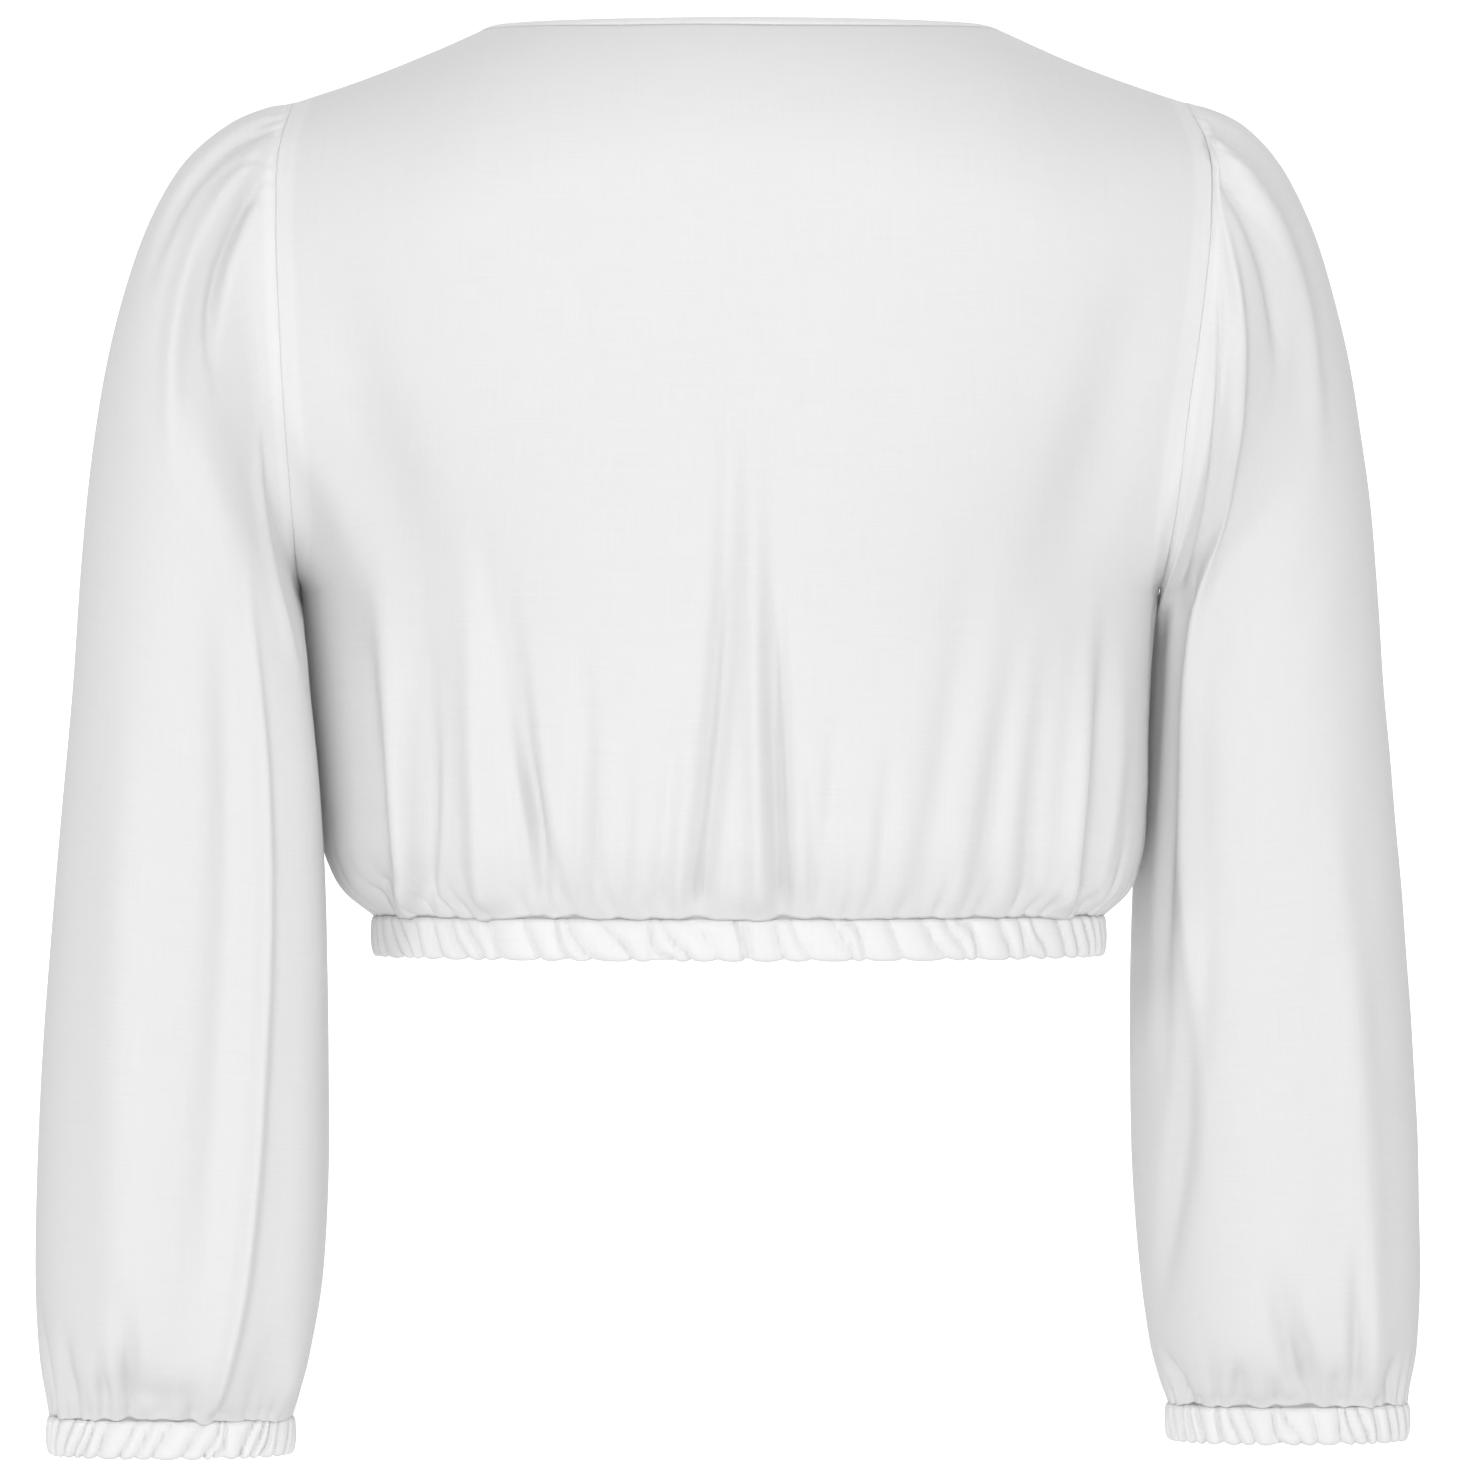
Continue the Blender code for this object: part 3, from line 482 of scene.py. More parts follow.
def make_panel(face):
    across = np.linspace(-1, 1, PANEL_COLUMNS)[None, :]
    up = rows_between(PANEL_ROWS)[:, None]
    surface = body_surface(across, up, face)
    normals = normals_of(surface, False) * -FACE_SIGN[face]
    relief = body_relief(surface, np.broadcast_to(across, surface.shape[:2]), face)
    grid = surface + normals * relief[..., None]
    steps = np.linalg.norm(np.diff(grid, axis=1), axis=-1)
    from_left = np.concatenate([np.zeros((len(grid), 1)), np.cumsum(steps, axis=1)], axis=1)
    to_edge = np.minimum(from_left, from_left[:, -1:] - from_left)
    beside_armhole = ease((grid[..., 2] - UNDERARM_Z) / ARMHOLE_FADE)
    doubled = ease((ALLOWANCE - to_edge) / ALLOWANCE_SOFT + 0.5)
    layers = doubled * beside_armhole * SHOWING_THROUGH
    if face == "back":
        grid, layers = grid[:, ::-1], layers[:, ::-1]
    return cloth_piece(face + "_panel", grid, layers=layers)


panels = {face: make_panel(face) for face in ("back", "front")}
for panel in panels.values():
    print(panel.name, len(panel.data.polygons), "quads")

# %% [markdown]
# A balloon sleeve is a fan of rings. The first stands upright in the armhole and the last lies
# flat at the wrist, so the rings swing round the underarm as round a hinge. Rings worked out in
# this way give a sleeve that drops straight down without a kink, which a tube along a bent line
# would not. Where the sleeve is wider than the armhole, its head is gathered.

# %% The sleeve's surface
RING_SQUARENESS = 0.88
ARMHOLE_BOW = 0.0085
BOWED_RINGS = 8
HUNG_RING = 5
SLEEVE_RADIUS = 0.058
HEAD_SPREAD = np.radians(62)

SleeveFold = namedtuple(
    "SleeveFold", "top_ring top_angle mid_ring mid_angle foot_ring foot_angle depth half_width"
)
SLEEVE_FOLDS = {
    "left": table(
        SleeveFold,
        (2.5, 196, 8.0, 199, 12.5, 199, -0.0050, 0.0120),
        (-0.3, 40, 1.5, 62, 3.6, 88, -0.0064, 0.0052),
        (-0.5, 32, 2.4, 56, 6.5, 82, 0.0042, 0.0070),
        (-0.5, 22, 2.4, 34, 5.0, 44, -0.0030, 0.0060),
        (0.3, 322, 3.0, 305, 6.0, 280, -0.0055, 0.0075),
        (0.3, 100, 3.5, 128, 8.0, 150, 0.0026, 0.0055),
        (4.0, 148, 9.0, 146, 18.5, 146, 0.0060, 0.0180),
        (5.0, 118, 11.0, 123, 18.5, 101, 0.0044, 0.0036),
        (6.0, 104, 11.0, 107, 15.8, 96, -0.0050, 0.0090),
        (8.0, 66, 12.0, 72, 16.5, 78, 0.0044, 0.0150),
        (13.8, 76, 15.5, 76, 18.5, 76, -0.0066, 0.0045),
        (14.6, 64, 16.4, 64, 18.5, 63, -0.0044, 0.0040),
        (14.8, 84, 16.5, 84, 18.5, 84, -0.0030, 0.0036),
        (15.2, 91, 16.6, 91, 18.5, 91, -0.0030, 0.0036),
        (15.0, 98, 16.5, 98, 18.5, 98, -0.0030, 0.0036),
        (14.0, 136, 16.0, 134, 18.0, 134, -0.0034, 0.0090),
        (14.2, 44, 16.2, 44, 18.5, 45, -0.0037, 0.0050),
        (7.0, 245, 12.0, 238, 18.5, 240, -0.0076, 0.0100),
        (9.0, 290, 13.0, 293, 18.5, 298, -0.0071, 0.0090),
        (13.5, 268, 16.0, 268, 18.5, 270, -0.0068, 0.0060),
        (14.0, 20, 16.0, 18, 18.5, 16, -0.0061, 0.0070),
    ),
    "right": table(
        SleeveFold,
        (2.5, 164, 8.0, 161, 12.5, 161, -0.0030, 0.0120),
        (-0.3, 38, 2.3, 58, 4.9, 76, -0.0050, 0.0056),
        (-0.5, 34, 3.0, 50, 7.0, 60, 0.0046, 0.0070),
        (-0.5, 20, 2.4, 32, 5.5, 38, -0.0036, 0.0070),
        (0.3, 325, 3.0, 308, 6.0, 285, -0.0055, 0.0075),
        (0.5, 54, 2.1, 82, 4.6, 111, 0.0038, 0.0052),
        (0.4, 68, 1.6, 94, 4.2, 124, -0.0024, 0.0056),
        (2.5, 88, 6.2, 121, 13.5, 122, 0.0060, 0.0055),
        (3.0, 118, 8.0, 141, 13.0, 141, -0.0062, 0.0070),
        (10.0, 120, 12.6, 130, 14.8, 158, -0.0042, 0.0080),
        (9.0, 66, 13.0, 60, 18.0, 56, 0.0034, 0.0100),
        (13.6, 97, 15.2, 88, 18.5, 84, -0.0080, 0.0045),
        (13.2, 65, 15.5, 62, 18.5, 59, -0.0058, 0.0045),
        (15.0, 112, 16.5, 112, 18.5, 111, -0.0050, 0.0045),
        (15.4, 96, 16.6, 95, 18.5, 95, -0.0036, 0.0034),
        (15.2, 73, 16.6, 73, 18.5, 72, -0.0044, 0.0038),
        (15.0, 40, 16.5, 39, 18.5, 38, -0.0050, 0.0045),
        (14.8, 160, 16.0, 150, 18.5, 134, -0.0060, 0.0060),
        (7.0, 250, 12.0, 244, 18.5, 246, -0.0076, 0.0100),
        (9.5, 296, 13.0, 300, 18.5, 304, -0.0071, 0.0090),
        (13.5, 272, 16.0, 273, 18.5, 275, -0.0068, 0.0060),
    ),
}


def armhole_loop(angle, side):
    """The armhole's edge on the body, at each angle round it: 0 is the shoulder and 90 the back."""
    middle = (SHOULDER_TIP_Z + UNDERARM_Z) / 2
    half = (SHOULDER_TIP_Z - UNDERARM_Z) / 2
    z = middle + half * np.cos(angle)
    x = section_value(z, side)
    y = np.where(np.sin(angle) >= 0, armhole_edge_y(z, "back"), armhole_edge_y(z, "front"))
    return np.stack([x, rounded_to_shoulder(y, x, z), z], axis=-1)


def squared(value):
    return np.sign(value) * np.abs(value) ** RING_SQUARENESS


def sleeve_surface(ring, angle, side):
    """Points of a sleeve without folds, at ring numbers (rows) and angles (columns)."""
    rings = [armhole_loop(angle, side) + np.array([SEAM_GAP / 2, 0, 0])]
    lie = SLEEVE_HANG[side]
    for number, s in enumerate(SLEEVE_SECTIONS[1:], start=1):
        hang = ease((number - 1) / HUNG_RING)
        out = np.array([s.out_x + lie.outer * min(number / 3, 1), 0, s.out_z])
        inner = np.array([getattr(s, side + "_in_x"), 0, s.in_z])
        middle = (out + inner) / 2 + np.array([0, s.middle_y + lie.back * hang, 0])
        across = (out - inner) / 2
        depth = np.array([0, s.half_depth, 0])
        bow = np.array([ARMHOLE_BOW * (1 - ease(number / BOWED_RINGS)), 0, 0])
        points = middle + np.outer(squared(np.cos(angle)), across)
        points = points + np.outer(squared(np.sin(angle)), depth)
        rings.append(points + np.outer(np.sin(angle) ** 2, bow))
    points = curve_through(ring, np.arange(len(rings)), np.array(rings))
    points[..., 0] *= SIDE_SIGN[side]
    return points


def turned(angle, line):
    """The angle between two directions, in radians, from -pi to pi."""
    return (angle - line + np.pi) % (2 * np.pi) - np.pi


# %% [markdown]
# Three kinds of relief add up on a sleeve: the folds of the table, the pulled creases that run out
# of the gathered head, and the crush of small creases over the cuff. Each fades with its distance
# from the seam that causes it.

# %% The sleeve's folds
head_gathers = {
    "left": gather_row(HEAD_GATHERS, seed=41, depth=0.0021, length=0.030),
    "right": gather_row(HEAD_GATHERS, seed=42, depth=0.0021, length=0.030),
}
SLEEVE_ROUND_AT_CUFF = 0.26
HEAD_LENGTH = 0.125
END_FADE = 0.35
RINGS_FROM_SEAM = 1.6
HEAD_SOFT = 0.2
LEFT_AT_HEAD = 0.2
HEAD_REACH = 0.007
LEFT_AT_CUFF = 0.35
CUFF_REACH = 0.022
SLEEVE_UNEVEN = 0.0006
UNEVEN_FROM_SEAM = 0.02
CLOSING_CALM = 0.2


def table_folds(ring, angle, side):
    relief = np.zeros(np.broadcast(ring, angle).shape)
    for fold in SLEEVE_FOLDS[side]:
        places = [fold.top_ring, fold.mid_ring, fold.foot_ring]
        angles = [fold.top_angle, fold.mid_angle, fold.foot_angle]
        line = np.radians(curve_through(ring, places, angles))
        along = (ring - fold.top_ring) / (fold.foot_ring - fold.top_ring)
        strength = ease(along / END_FADE) if fold.top_ring >= 0 else ease(ring / RINGS_FROM_SEAM)
        if fold.foot_ring <= LAST_RING:
            strength = strength * ease((1 - along) / END_FADE)
        strength = strength * (along >= 0) * (along <= 1)
        aside = turned(angle, line) * SLEEVE_RADIUS
        relief += fold.depth * strength * bump(aside, fold.half_width)
    return relief


def head_folds(ring, angle, from_seam, side):
    """Short creases out of the sleeve head's seam, close together at the top of the shoulder."""
    spread = turned(angle, 0) / HEAD_SPREAD
    share = 0.5 + 0.5 * np.clip(spread, -1, 1)
    pressed = creases(share, from_seam, head_gathers[side], HEAD_LENGTH, crease_width=0.0014)
    held = LEFT_AT_HEAD + (1 - LEFT_AT_HEAD) * ease(from_seam / HEAD_REACH)
    return pressed * ease((1 - np.abs(spread)) / HEAD_SOFT) * held


def sleeve_relief(points, ring, angle, side):
    steps = np.linalg.norm(np.diff(points, axis=0), axis=-1)
    from_seam = np.concatenate([np.zeros((1, points.shape[1])), np.cumsum(steps, axis=0)])
    to_cuff = from_seam[-1:] - from_seam
    held = LEFT_AT_CUFF + (1 - LEFT_AT_CUFF) * ease(to_cuff / CUFF_REACH)
    relief = table_folds(ring, angle, side) * held
    relief += head_folds(ring, angle, from_seam, side)
    pressed = creases(angle / (2 * np.pi), to_cuff, cuff_gathers[side], SLEEVE_ROUND_AT_CUFF)
    relief += pressed * (HELD_BY_SEAM + (1 - HELD_BY_SEAM) * ease(to_cuff / SEAM_REACH))
    around = angle * SLEEVE_RADIUS
    waves = soft_waves(around, from_seam, seed=51 if side == "left" else 52)
    closing = ease(turned(angle, np.pi) ** 2 / CLOSING_CALM)
    return relief + SLEEVE_UNEVEN * waves * ease(from_seam / UNEVEN_FROM_SEAM) * closing


# %% [markdown]
# The rings are sampled closely near both ends, where the creases are finest. The sleeve seam runs
# down the inside of the arm, where the columns meet. The first row is tucked about a millimetre
# in under the panel, because a sewn seam leaves no slit, and the rows beside it carry the narrow
# lighter band of the sleeve's own allowance.

# %% Sleeves
SLEEVE_COLUMNS = 300
SLEEVE_ROWS = 164
SLEEVE_ALLOWANCE = 0.0050
TUCK_IN = 0.0008
TUCK_UNDER = 0.0012


def make_sleeve(side):
    ring = LAST_RING * rows_between(SLEEVE_ROWS, pull=0.6)[:, None]
    angle = (np.pi + 2 * np.pi * np.arange(SLEEVE_COLUMNS) / SLEEVE_COLUMNS)[None, :]
    surface = sleeve_surface(ring[:, 0], angle[0], side)
    outward = normals_of(surface, True) * -SIDE_SIGN[side]
    grid = surface + outward * sleeve_relief(surface, ring, angle, side)[..., None]
    tucked = grid[:1] - outward[:1] * TUCK_IN - np.array([SIDE_SIGN[side] * TUCK_UNDER, 0, 0])
    steps = np.linalg.norm(np.diff(grid, axis=0), axis=-1)
    from_seam = np.concatenate([np.zeros((1, SLEEVE_COLUMNS)), np.cumsum(steps, axis=0)])
    layers = ease((SLEEVE_ALLOWANCE - from_seam) / ALLOWANCE_SOFT + 0.5) * SHOWING_THROUGH
    grid = np.concatenate([tucked, grid])
    layers = np.concatenate([layers[:1], layers])
    if side == "left":
        grid, layers = grid[:, ::-1], layers[:, ::-1]
    return cloth_piece("sleeve_cloth_" + side, grid, closed=True, layers=layers)


sleeves = {side: make_sleeve(side) for side in ("left", "right")}
for sleeve in sleeves.values():
    print(sleeve.name, len(sleeve.data.polygons), "quads")

# %% [markdown]
# A casing is the turned-up end of the cloth, stitched down over elastic. Its outer face swells
# between the creases like a row of small pillows, its lower edge is scalloped, and the creases
# lean a little, because the cloth slips sideways when it is stitched. One closed ring of stations
# makes the outer face, the lower edge and the plain inner face.

# %% Elastic casings
CasingStation = namedtuple("CasingStation", "down out relief")
CASING_STATIONS = table(
    CasingStation,
    (-0.06, -0.0004, 0.20),
    (0.01, 0.0010, 0.60),
    (0.12, 0.0014, 0.85),
    (0.26, 0.0013, 1.00),
    (0.40, 0.0014, 1.00),
    (0.54, 0.0014, 1.00),
    (0.68, 0.0013, 1.00),
    (0.82, 0.0011, 0.95),
    (0.92, 0.0007, 0.85),
    (0.98, 0.0001, 0.65),
    (1.00, -0.0008, 0.45),
    (0.98, -0.0018, 0.20),
    (0.85, -0.0023, 0.00),
    (0.50, -0.0024, 0.00),
    (0.15, -0.0023, 0.00),
    (0.02, -0.0015, 0.05),
)
POINTS_A_GATHER = 12
PUFF = 0.0034
PUFF_MIDDLE = 0.75
SMALLEST_PUFF = 0.75
PUFF_RANGE = 0.5
SCALLOP = 0.0014
SCALLOP_MIDDLE = 0.6
SCALLOP_FROM = 0.7
SCALLOP_OVER = 0.3
CUFF_TALL = 0.0150
CASING_INSET = 0.0010


def casing_piece(name, grid):
    """A closed tube of doubled cloth. Its grid has both faces, so it needs no Solidify."""
    doubled = np.ones(grid.shape[:2])
    return cloth_piece(name, grid, closed=True, tube=True, thickness=0, layers=doubled)


def make_casing(name, plan, tall, gathers):
    """A casing from plan(turn), which gives the points of its top edge and the way out."""
    columns = len(gathers.place) * POINTS_A_GATHER
    turn = np.arange(columns) / columns
    pitch = 1 / len(gathers.place)
    lean = np.interp(turn, gathers.place, gathers.lean, period=1)
    depth = np.interp(turn, gathers.place, gathers.depth / gathers.depth.max(), period=1)
    size = SMALLEST_PUFF + PUFF_RANGE * depth
    rows = []
    for station in CASING_STATIONS:
        points, out = plan(turn)
        pillow = puffs(turn + lean * (station.down - 0.5) * pitch, gathers)
        stands = station.out + PUFF * size * (pillow - PUFF_MIDDLE) * station.relief
        points = points + out * stands[:, None]
        edge = ease((station.down - SCALLOP_FROM) / SCALLOP_OVER)
        points[:, 2] -= station.down * tall + SCALLOP * size * (pillow - SCALLOP_MIDDLE) * edge
        rows.append(points)
    grid = np.array(rows)
    if not runs_clockwise(grid[0]):
        grid = grid[:, ::-1]
    return casing_piece(name, grid)


def runs_clockwise(points):
    """True if a closed ring runs clockwise, seen from above."""
    x, y = points[:, 0], points[:, 1]
    return (x * np.roll(y, -1) - np.roll(x, -1) * y).sum() < 0


def outward_level(points):
    """The level direction out of a closed ring."""
    along = np.roll(points, -1, axis=0) - np.roll(points, 1, axis=0)
    out = np.stack([-along[:, 1], along[:, 0], np.zeros(len(along))], axis=-1)
    out /= np.linalg.norm(out, axis=-1, keepdims=True)
    return out if runs_clockwise(points) else -out


def hem_plan(turn):
    """The top of the hem casing, once round from the centre back, and the way out."""
    angle = turn * 2 * np.pi
    foot = BODY_SECTIONS[0]
    half_width = np.where(np.sin(angle) >= 0, foot.left, foot.right)
    depth = np.where(np.cos(angle) >= 0, foot.back - SEAM_Y, foot.front + SEAM_Y)
    level = np.full(len(angle), CASING_TOP - SEAM_GAP)
    points = np.stack([half_width * np.sin(angle), SEAM_Y + depth * np.cos(angle), level], axis=-1)
    out = outward_level(points)
    return points - out * CASING_INSET, out


def cuff_plan(side):
    def plan(turn):
        points = sleeve_surface(np.array([float(LAST_RING)]), turn * 2 * np.pi, side)[0]
        points[:, 2] -= SEAM_GAP
        out = outward_level(points)
        return points - out * CASING_INSET, out

    return plan


hem = make_casing("hem_band", hem_plan, CASING_TALL, hem_gathers)
cuffs = {}
for side in SIDE_SIGN:
    cuffs[side] = make_casing("cuff_band_" + side, cuff_plan(side), CUFF_TALL, cuff_gathers[side])
print("hem band:", len(hem.data.polygons), "quads; each cuff:", len(cuffs["left"].data.polygons))

# %% [markdown]
# The neckline is finished with a narrow strip folded round its edge. It carries the body's surface
# on towards the neck, so it starts from the panels' top edges and their normals. Its profile is a
# flat tube with rounded edges.

# %% Neck binding
BINDING_WIDE = 0.0060
BINDING_CLOTH = 0.0013
BINDING_COLUMNS = 120
RIDGE_CLEAR = 0.012
RIDGE_FADE = 0.030
JUST_BELOW_TOP = 0.992
BindingStation = namedtuple("BindingStation", "across out")
BINDING_STATIONS = table(
    BindingStation,
    (0.04, -0.0004),
    (0.12, 0.0001),
    (0.35, 0.0003),
    (0.65, 0.0003),
    (0.90, 0.0001),
    (1.00, -0.0006),
    (0.90, -BINDING_CLOTH),
    (0.40, -BINDING_CLOTH),
    (0.10, -BINDING_CLOTH),
)


def smoothed(values, times=6):
    for _ in range(times):
        values = (np.roll(values, 1, axis=0) + 2 * values + np.roll(values, -1, axis=0)) / 4
    return values / np.linalg.norm(values, axis=-1, keepdims=True)


def neckline_normals(points, grid_normals, face):
    """The body's normals on the neckline. Near the shoulder's ridge they come from its rounding."""
    x, y, z = points.T
    above_round = np.clip(z - shoulder_height(np.abs(x)) + SHOULDER_ROUND, 0, None)
    slope = -2 * SHOULDER_RISE_AT_NECK * x / NECK_POINT_X**2
    level = above_round / SHOULDER_ROUND**2
    inwards = (y - SEAM_Y) / section_value(z, face) ** 2
    rounding = np.stack([-slope * level, inwards, level], axis=-1)
    rounding /= np.linalg.norm(rounding, axis=-1, keepdims=True)
    from_ridge = ease((shoulder_height(np.abs(x)) - z - RIDGE_CLEAR) / RIDGE_FADE)[:, None]
    return rounding * (1 - from_ridge) + grid_normals * from_ridge


def neck_loop():
    """Points of the neckline once round, and the surface's normals there."""
    share = 0.5 * np.sin(np.linspace(-1, 1, BINDING_COLUMNS + 1) * np.pi / 2)
    up = np.array([JUST_BELOW_TOP, 1.0])
    loops, normals = [], []
    for face in ("back", "front"):
        surface = body_surface(share[None, :], up[:, None], face)
        normal = (normals_of(surface, False) * -FACE_SIGN[face])[-1]
        normal = neckline_normals(surface[-1], normal, face)
        order = slice(None, -1) if face == "back" else slice(None, 0, -1)
        loops.append(surface[-1][order])
        normals.append(normal[order])
    return np.concatenate(loops), smoothed(np.concatenate(normals))


def make_binding():
    loop, normal = neck_loop()
    along = np.roll(loop, -1, axis=0) - np.roll(loop, 1, axis=0)
    rise = np.cross(normal, along)
    rise /= np.linalg.norm(rise, axis=-1, keepdims=True)
    if ((loop.mean(axis=0) - loop) * rise).sum() < 0:
        rise = -rise
    rise = smoothed(rise, 2)
    rows = [loop + rise * s.across * BINDING_WIDE + normal * s.out for s in BINDING_STATIONS]
    grid = np.array(rows)[::-1]
    return casing_piece("neck_band", grid)


neck_band = make_binding()
print("neck band:", len(neck_band.data.polygons), "quads")

# %% [markdown]
# Cotton's look comes from its yarns. These node groups hold each effect once, so that every
# material can share them, and they read the cloth's own flat coordinates in metres. The weave
# raises each yarn where it passes over. Slubs are thick places that run along single yarns, so
# noise is stretched far along one direction for each set of yarns.

# %% Shader groups


def new_group(name, inputs, outputs):
    group = bpy.data.node_groups.new(name, "ShaderNodeTree")
    for title, kind, value in inputs:
        socket = group.interface.new_socket(title, in_out="INPUT", socket_type="NodeSocket" + kind)
        if value is not None:
            socket.default_value = value
    for title, kind in outputs:
        group.interface.new_socket(title, in_out="OUTPUT", socket_type="NodeSocket" + kind)
    return group, group.nodes.new("NodeGroupInput"), group.nodes.new("NodeGroupOutput")


def math_node(tree, operation, first, second=None, third=None):
    """A maths node fed by sockets or plain numbers, and its result."""
    node = tree.nodes.new("ShaderNodeMath")
    node.operation = operation
    for index, value in enumerate((first, second, third)):
        if value is None:
            continue
        if isinstance(value, (int, float)):
            node.inputs[index].default_value = value
        else:
            tree.links.new(value, node.inputs[index])
    return node.outputs[0]


def split_place(tree, place):
    split = tree.nodes.new("ShaderNodeSeparateXYZ")
    tree.links.new(place, split.inputs[0])
    return split.outputs["X"], split.outputs["Y"]


def plain_weave_group():
    """Height of a plain weave: each yarn is high where it passes over the other."""
    group, inputs, outputs = new_group(
        "Plain weave",
        [("Place", "Vector", None), ("Yarns per Metre", "Float", 2600.0)],
        [("Height", "Float")],
    )
    x, y = split_place(group, inputs.outputs["Place"])
    turns = math_node(group, "MULTIPLY", inputs.outputs["Yarns per Metre"], float(np.pi))
    warp = math_node(group, "SINE", math_node(group, "MULTIPLY", x, turns))
    weft = math_node(group, "SINE", math_node(group, "MULTIPLY", y, turns))
    over = math_node(group, "MULTIPLY", warp, weft)
    group.links.new(math_node(group, "MULTIPLY_ADD", over, 0.5, 0.5), outputs.inputs["Height"])
    return group


def slub_group():
    """Streaks from 0 to 1 along the yarns of both directions, where a yarn is thicker."""
    group, inputs, outputs = new_group(
        "Slub yarns",
        [
            ("Place", "Vector", None),
            ("Streak Length", "Float", 0.03),
            ("Yarn Width", "Float", 0.0007),
        ],
        [("Streaks", "Float")],
    )
    x, y = split_place(group, inputs.outputs["Place"])
    streaks = []
    for first, second in ((x, y), (y, x)):
        place = group.nodes.new("ShaderNodeCombineXYZ")
        for value, size, axis in ((first, "Streak Length", "X"), (second, "Yarn Width", "Y")):
            scaled = math_node(group, "DIVIDE", value, inputs.outputs[size])
            group.links.new(scaled, place.inputs[axis])
        noise = group.nodes.new("ShaderNodeTexNoise")
        noise.inputs["Scale"].default_value = 1.0
        noise.inputs["Detail"].default_value = 2.0
        group.links.new(place.outputs[0], noise.inputs["Vector"])
        streaks.append(noise.outputs["Fac"])
    mean = math_node(group, "MULTIPLY", math_node(group, "ADD", *streaks), 0.5)
    group.links.new(mean, outputs.inputs["Streaks"])
    return group


def stitch_group():
    """A row of lock stitches on the line Y = Line: where its thread lies, and how high."""
    group, inputs, outputs = new_group(
        "Stitch row",
        [
            ("Place", "Vector", None),
            ("Line", "Float", 0.0),
            ("Stitch", "Float", 0.0024),
            ("Thread", "Float", 0.0003),
        ],
        [("Thread", "Float"), ("Height", "Float")],
    )
    x, y = split_place(group, inputs.outputs["Place"])
    aside = math_node(group, "ABSOLUTE", math_node(group, "SUBTRACT", y, inputs.outputs["Line"]))
    away = math_node(group, "DIVIDE", aside, inputs.outputs["Thread"])
    close = math_node(group, "SUBTRACT", 1.0, away)
    across = math_node(group, "MAXIMUM", close, 0.0)
    step = math_node(group, "FRACT", math_node(group, "DIVIDE", x, inputs.outputs["Stitch"]))
    arch = math_node(group, "SINE", math_node(group, "MULTIPLY", step, float(np.pi)))
    height = math_node(group, "MULTIPLY", arch, across)
    group.links.new(height, outputs.inputs["Height"])
    group.links.new(math_node(group, "GREATER_THAN", height, 0.15), outputs.inputs["Thread"])
    return group


weave_group, slubs_group, stitch_row_group = plain_weave_group(), slub_group(), stitch_group()
print("groups:", weave_group.name, "/", slubs_group.name, "/", stitch_row_group.name)

# %% [markdown]
# Thin white cotton reflects most light, and lets some of it through. One layer therefore looks
# slightly grey, because the dark inside shows through it, and two layers look whiter. A
# Translucent shader mixed with the Principled one gives the light that passes through. The
# `layers` value lightens the colour to the double white where an allowance lies under the cloth.
# The casings and the binding let hardly any light through, so less of it is lost in them. Their
# own colour is a little lower for that reason, and they look as white as in the photo.

# %% Cloth materials
SINGLE_WHITE = (0.82, 0.82, 0.82, 1.0)
DOUBLE_WHITE = (0.89, 0.89, 0.89, 1.0)
CASING_WHITE = (0.80, 0.80, 0.80, 1.0)
LIGHT_THROUGH = 0.20
CASING_LIGHT = 0.06
SLUB_HEIGHT = 1.6
DOUBLE_HEIGHT = 2.5
STITCH_HEIGHT = 3.5
WEAVE_RELIEF = 0.00006


def add_group(tree, group, place, **values):
    node = tree.nodes.new("ShaderNodeGroup")
    node.node_tree = group
    tree.links.new(place, node.inputs["Place"])
    for title, value in values.items():
        node.inputs[title.replace("_", " ")].default_value = value
    return node


def mixed_colour(tree, amount, first, second):
    mix = tree.nodes.new("ShaderNodeMix")
    mix.data_type = "RGBA"
    tree.links.new(amount, mix.inputs["Factor"])
    for value, socket in ((first, mix.inputs["A"]), (second, mix.inputs["B"])):
        if isinstance(value, tuple):
            socket.default_value = value
        else:
            tree.links.new(value, socket)
    return mix.outputs["Result"]


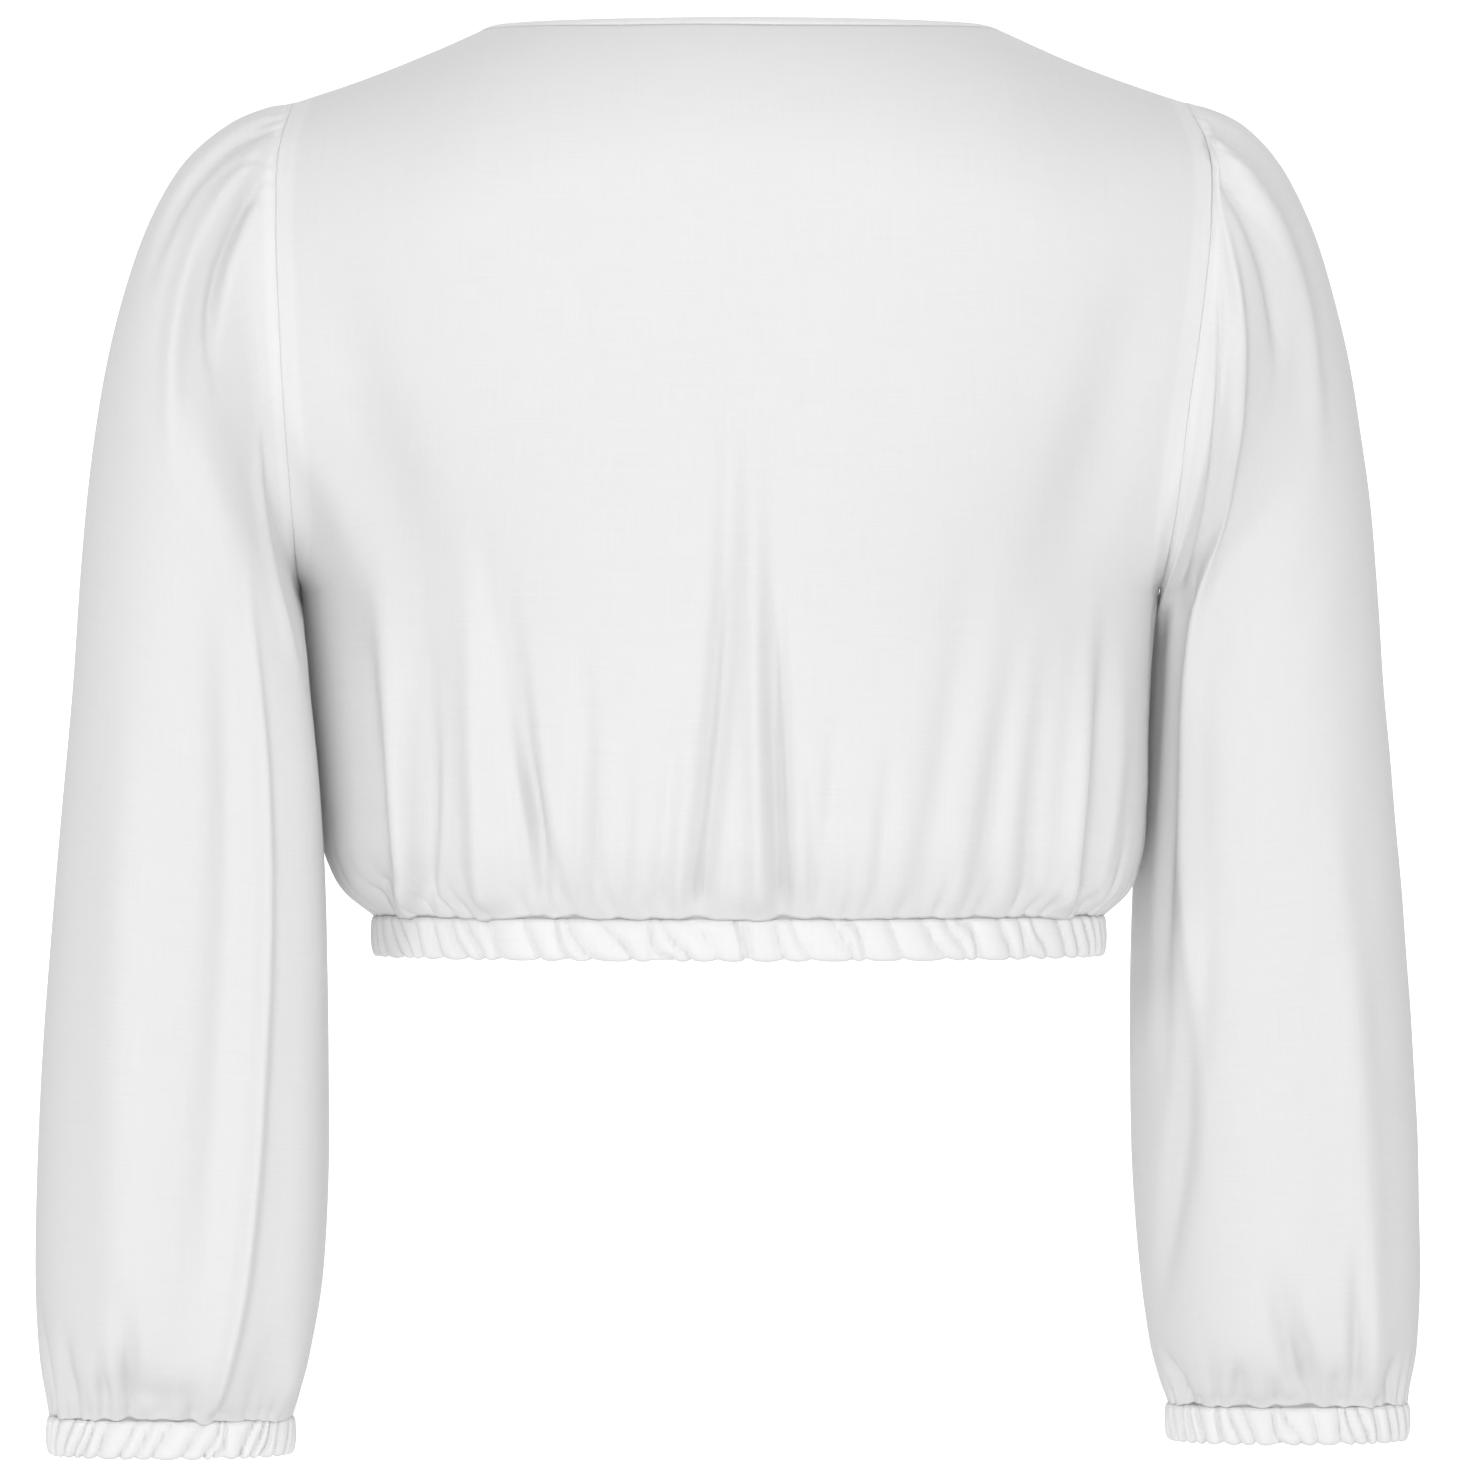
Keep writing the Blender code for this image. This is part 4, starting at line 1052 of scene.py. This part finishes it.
def white_cotton(name, double_white=DOUBLE_WHITE, stitch_line=None, light_through=LIGHT_THROUGH):
    """Fine white cotton. stitch_line is the place of a stitched row, in metres down the piece."""
    material = bpy.data.materials.new(name)
    material.use_nodes = True
    tree = material.node_tree
    shader = tree.nodes["Principled BSDF"]
    surface = tree.nodes["Material Output"].inputs["Surface"]
    uv = tree.nodes.new("ShaderNodeUVMap")
    uv.uv_map = "cloth"
    place = uv.outputs[0]
    weave = add_group(tree, weave_group, place)
    slubs = add_group(tree, slubs_group, place)
    layers = tree.nodes.new("ShaderNodeAttribute")
    layers.attribute_name = "layers"
    colour = mixed_colour(tree, layers.outputs["Fac"], SINGLE_WHITE, double_white)
    yarn = math_node(tree, "MULTIPLY_ADD", slubs.outputs["Streaks"], 0.10, 0.95)
    tinted = tree.nodes.new("ShaderNodeVectorMath")
    tinted.operation = "SCALE"
    tree.links.new(colour, tinted.inputs[0])
    tree.links.new(yarn, tinted.inputs["Scale"])
    tree.links.new(tinted.outputs[0], shader.inputs["Base Color"])
    rough = math_node(tree, "MULTIPLY_ADD", slubs.outputs["Streaks"], -0.15, 0.93)
    tree.links.new(rough, shader.inputs["Roughness"])
    streaks = slubs.outputs["Streaks"]
    height = math_node(tree, "MULTIPLY_ADD", streaks, SLUB_HEIGHT, weave.outputs["Height"])
    height = math_node(tree, "MULTIPLY_ADD", layers.outputs["Fac"], DOUBLE_HEIGHT, height)
    if stitch_line is not None:
        row = add_group(tree, stitch_row_group, place, Line=stitch_line)
        height = math_node(tree, "MULTIPLY_ADD", row.outputs["Height"], STITCH_HEIGHT, height)
    relief = tree.nodes.new("ShaderNodeBump")
    relief.inputs["Strength"].default_value = 0.55
    relief.inputs["Distance"].default_value = WEAVE_RELIEF
    tree.links.new(height, relief.inputs["Height"])
    tree.links.new(relief.outputs[0], shader.inputs["Normal"])
    shader.inputs["Specular IOR Level"].default_value = 0.25
    shader.inputs["Sheen Weight"].default_value = 0.12
    shader.inputs["Sheen Roughness"].default_value = 0.6
    through = tree.nodes.new("ShaderNodeBsdfTranslucent")
    tree.links.new(tinted.outputs[0], through.inputs["Color"])
    mix = tree.nodes.new("ShaderNodeMixShader")
    mix.inputs["Fac"].default_value = light_through
    tree.links.new(shader.outputs[0], mix.inputs[1])
    tree.links.new(through.outputs[0], mix.inputs[2])
    tree.links.new(mix.outputs[0], surface)
    return material


single_cotton = white_cotton("white_cotton")
casing_cotton = white_cotton("casing_cotton", CASING_WHITE, 0.0022, CASING_LIGHT)
binding_cotton = white_cotton("binding_cotton", CASING_WHITE, 0.0012, CASING_LIGHT)
for piece in (*panels.values(), *sleeves.values()):
    piece.data.materials.append(single_cotton)
for piece in (hem, *cuffs.values()):
    piece.data.materials.append(casing_cotton)
neck_band.data.materials.append(binding_cotton)

# %% [markdown]
# Each piece stands for one solid. The body and the sleeves are the sheets that are cut: they are
# gathered into their casings, so they were cut wider than they now measure. A casing is the
# turned-up end of its sheet and the binding is stitched to the body.

for piece, node, material_slot in (
    (panels["back"], "back", "body_cloth"),
    (panels["front"], "front", "body_cloth"),
    (sleeves["left"], "sleeve_left", "body_cloth"),
    (sleeves["right"], "sleeve_right", "body_cloth"),
    (hem, "hem_casing", "casing_cloth"),
    (cuffs["left"], "cuff_left", "casing_cloth"),
    (cuffs["right"], "cuff_right", "casing_cloth"),
    (neck_band, "neck_binding", "casing_cloth"),
):
    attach(piece, "root")
    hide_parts(node)
    print(piece.name, "replaces", node)

Cut = namedtuple("Cut", "piece flat area rests_on with_pieces")

# %% [markdown]
# The photo is a plain cut-out view from straight behind, under even light. A pale wall stands in
# for the studio. It stands far away, so that a view from the front has room before it. The camera
# is 3 m away with a long lens, so both sleeves show without distortion.

# %% Camera and stage
PIXEL = 0.00042
PHOTO_WIDE = 1470
CAMERA_AWAY = 3.0
MIDDLE_Y = 0.03

camera_data = bpy.data.cameras.new("camera")
camera_data.sensor_width = 36.0
camera_data.lens = camera_data.sensor_width * (CAMERA_AWAY - MIDDLE_Y) / (PHOTO_WIDE * PIXEL)
camera = bpy.data.objects.new("camera", camera_data)
camera.location = (0.0021, CAMERA_AWAY, -0.3014)
camera.rotation_euler = (np.pi / 2, 0, np.pi)
bpy.context.scene.collection.objects.link(camera)
bpy.context.scene.camera = camera

BACKDROP_Y = -4.5
BACKDROP_HALF = 5.3


def make_backdrop():
    """A pale wall that faces the camera."""
    mesh = bpy.data.meshes.new("backdrop")
    middle_z = camera.location.z
    corners = [
        (x * BACKDROP_HALF, BACKDROP_Y, middle_z + z * BACKDROP_HALF)
        for x, z in ((-1, -1), (-1, 1), (1, 1), (1, -1))
    ]
    mesh.from_pydata(corners, [], [(0, 1, 2, 3)])
    backdrop = bpy.data.objects.new("backdrop", mesh)
    bpy.context.scene.collection.objects.link(backdrop)
    material = bpy.data.materials.new("pale_wall")
    material.use_nodes = True
    shader = material.node_tree.nodes["Principled BSDF"]
    shader.inputs["Base Color"].default_value = (0.6, 0.6, 0.6, 1)
    shader.inputs["Roughness"].default_value = 0.9
    shader.inputs["Emission Color"].default_value = (1, 1, 1, 1)
    shader.inputs["Emission Strength"].default_value = 1.0
    mesh.materials.append(material)
    return backdrop


backdrop = make_backdrop()

# %% [markdown]
# Soft light needs large lamps. One stands a little behind the camera and lights what faces it, so
# that the sides fall off to grey and the folds get gentle shadows. One on each side shapes the
# sleeves, one above lights the shoulders, and one below keeps the hem and the cuffs from going
# dark.

# %% Light
Lamp = namedtuple("Lamp", "name place target size power")
LAMPS = (
    Lamp("key", (0.3, 3.3, 0.5), (0, 0, -0.30), 1.2, 14.0),
    Lamp("right_light", (-2.4, 1.8, 0.2), (0, 0, -0.30), 0.7, 19.0),
    Lamp("left_light", (2.4, 1.9, 0.1), (0, 0, -0.30), 0.7, 16.0),
    Lamp("top_light", (0.3, 0.9, 1.9), (0, 0, -0.20), 1.2, 8.0),
    Lamp("low_light", (0.3, 2.7, -1.9), (0, 0, -0.45), 1.4, 32.0),
)


def add_lamp(lamp):
    data = bpy.data.lights.new(lamp.name, "AREA")
    data.shape = "DISK"
    data.size = lamp.size
    data.energy = lamp.power
    light = bpy.data.objects.new(lamp.name, data)
    light.location = lamp.place
    direction = np.array(lamp.target) - np.array(lamp.place)
    flat = np.hypot(direction[0], direction[1])
    tilt = np.arctan2(flat, -direction[2])
    light.rotation_euler = (tilt, 0, np.arctan2(-direction[0], direction[1]))
    bpy.context.scene.collection.objects.link(light)


for lamp in LAMPS:
    add_lamp(lamp)

world = bpy.data.worlds.new("studio")
world.use_nodes = True
sky = world.node_tree.nodes["Background"]
sky.inputs["Color"].default_value = (1, 1, 1, 1)
sky.inputs["Strength"].default_value = 0.58
bpy.context.scene.world = world
bpy.context.scene.view_settings.view_transform = "Standard"
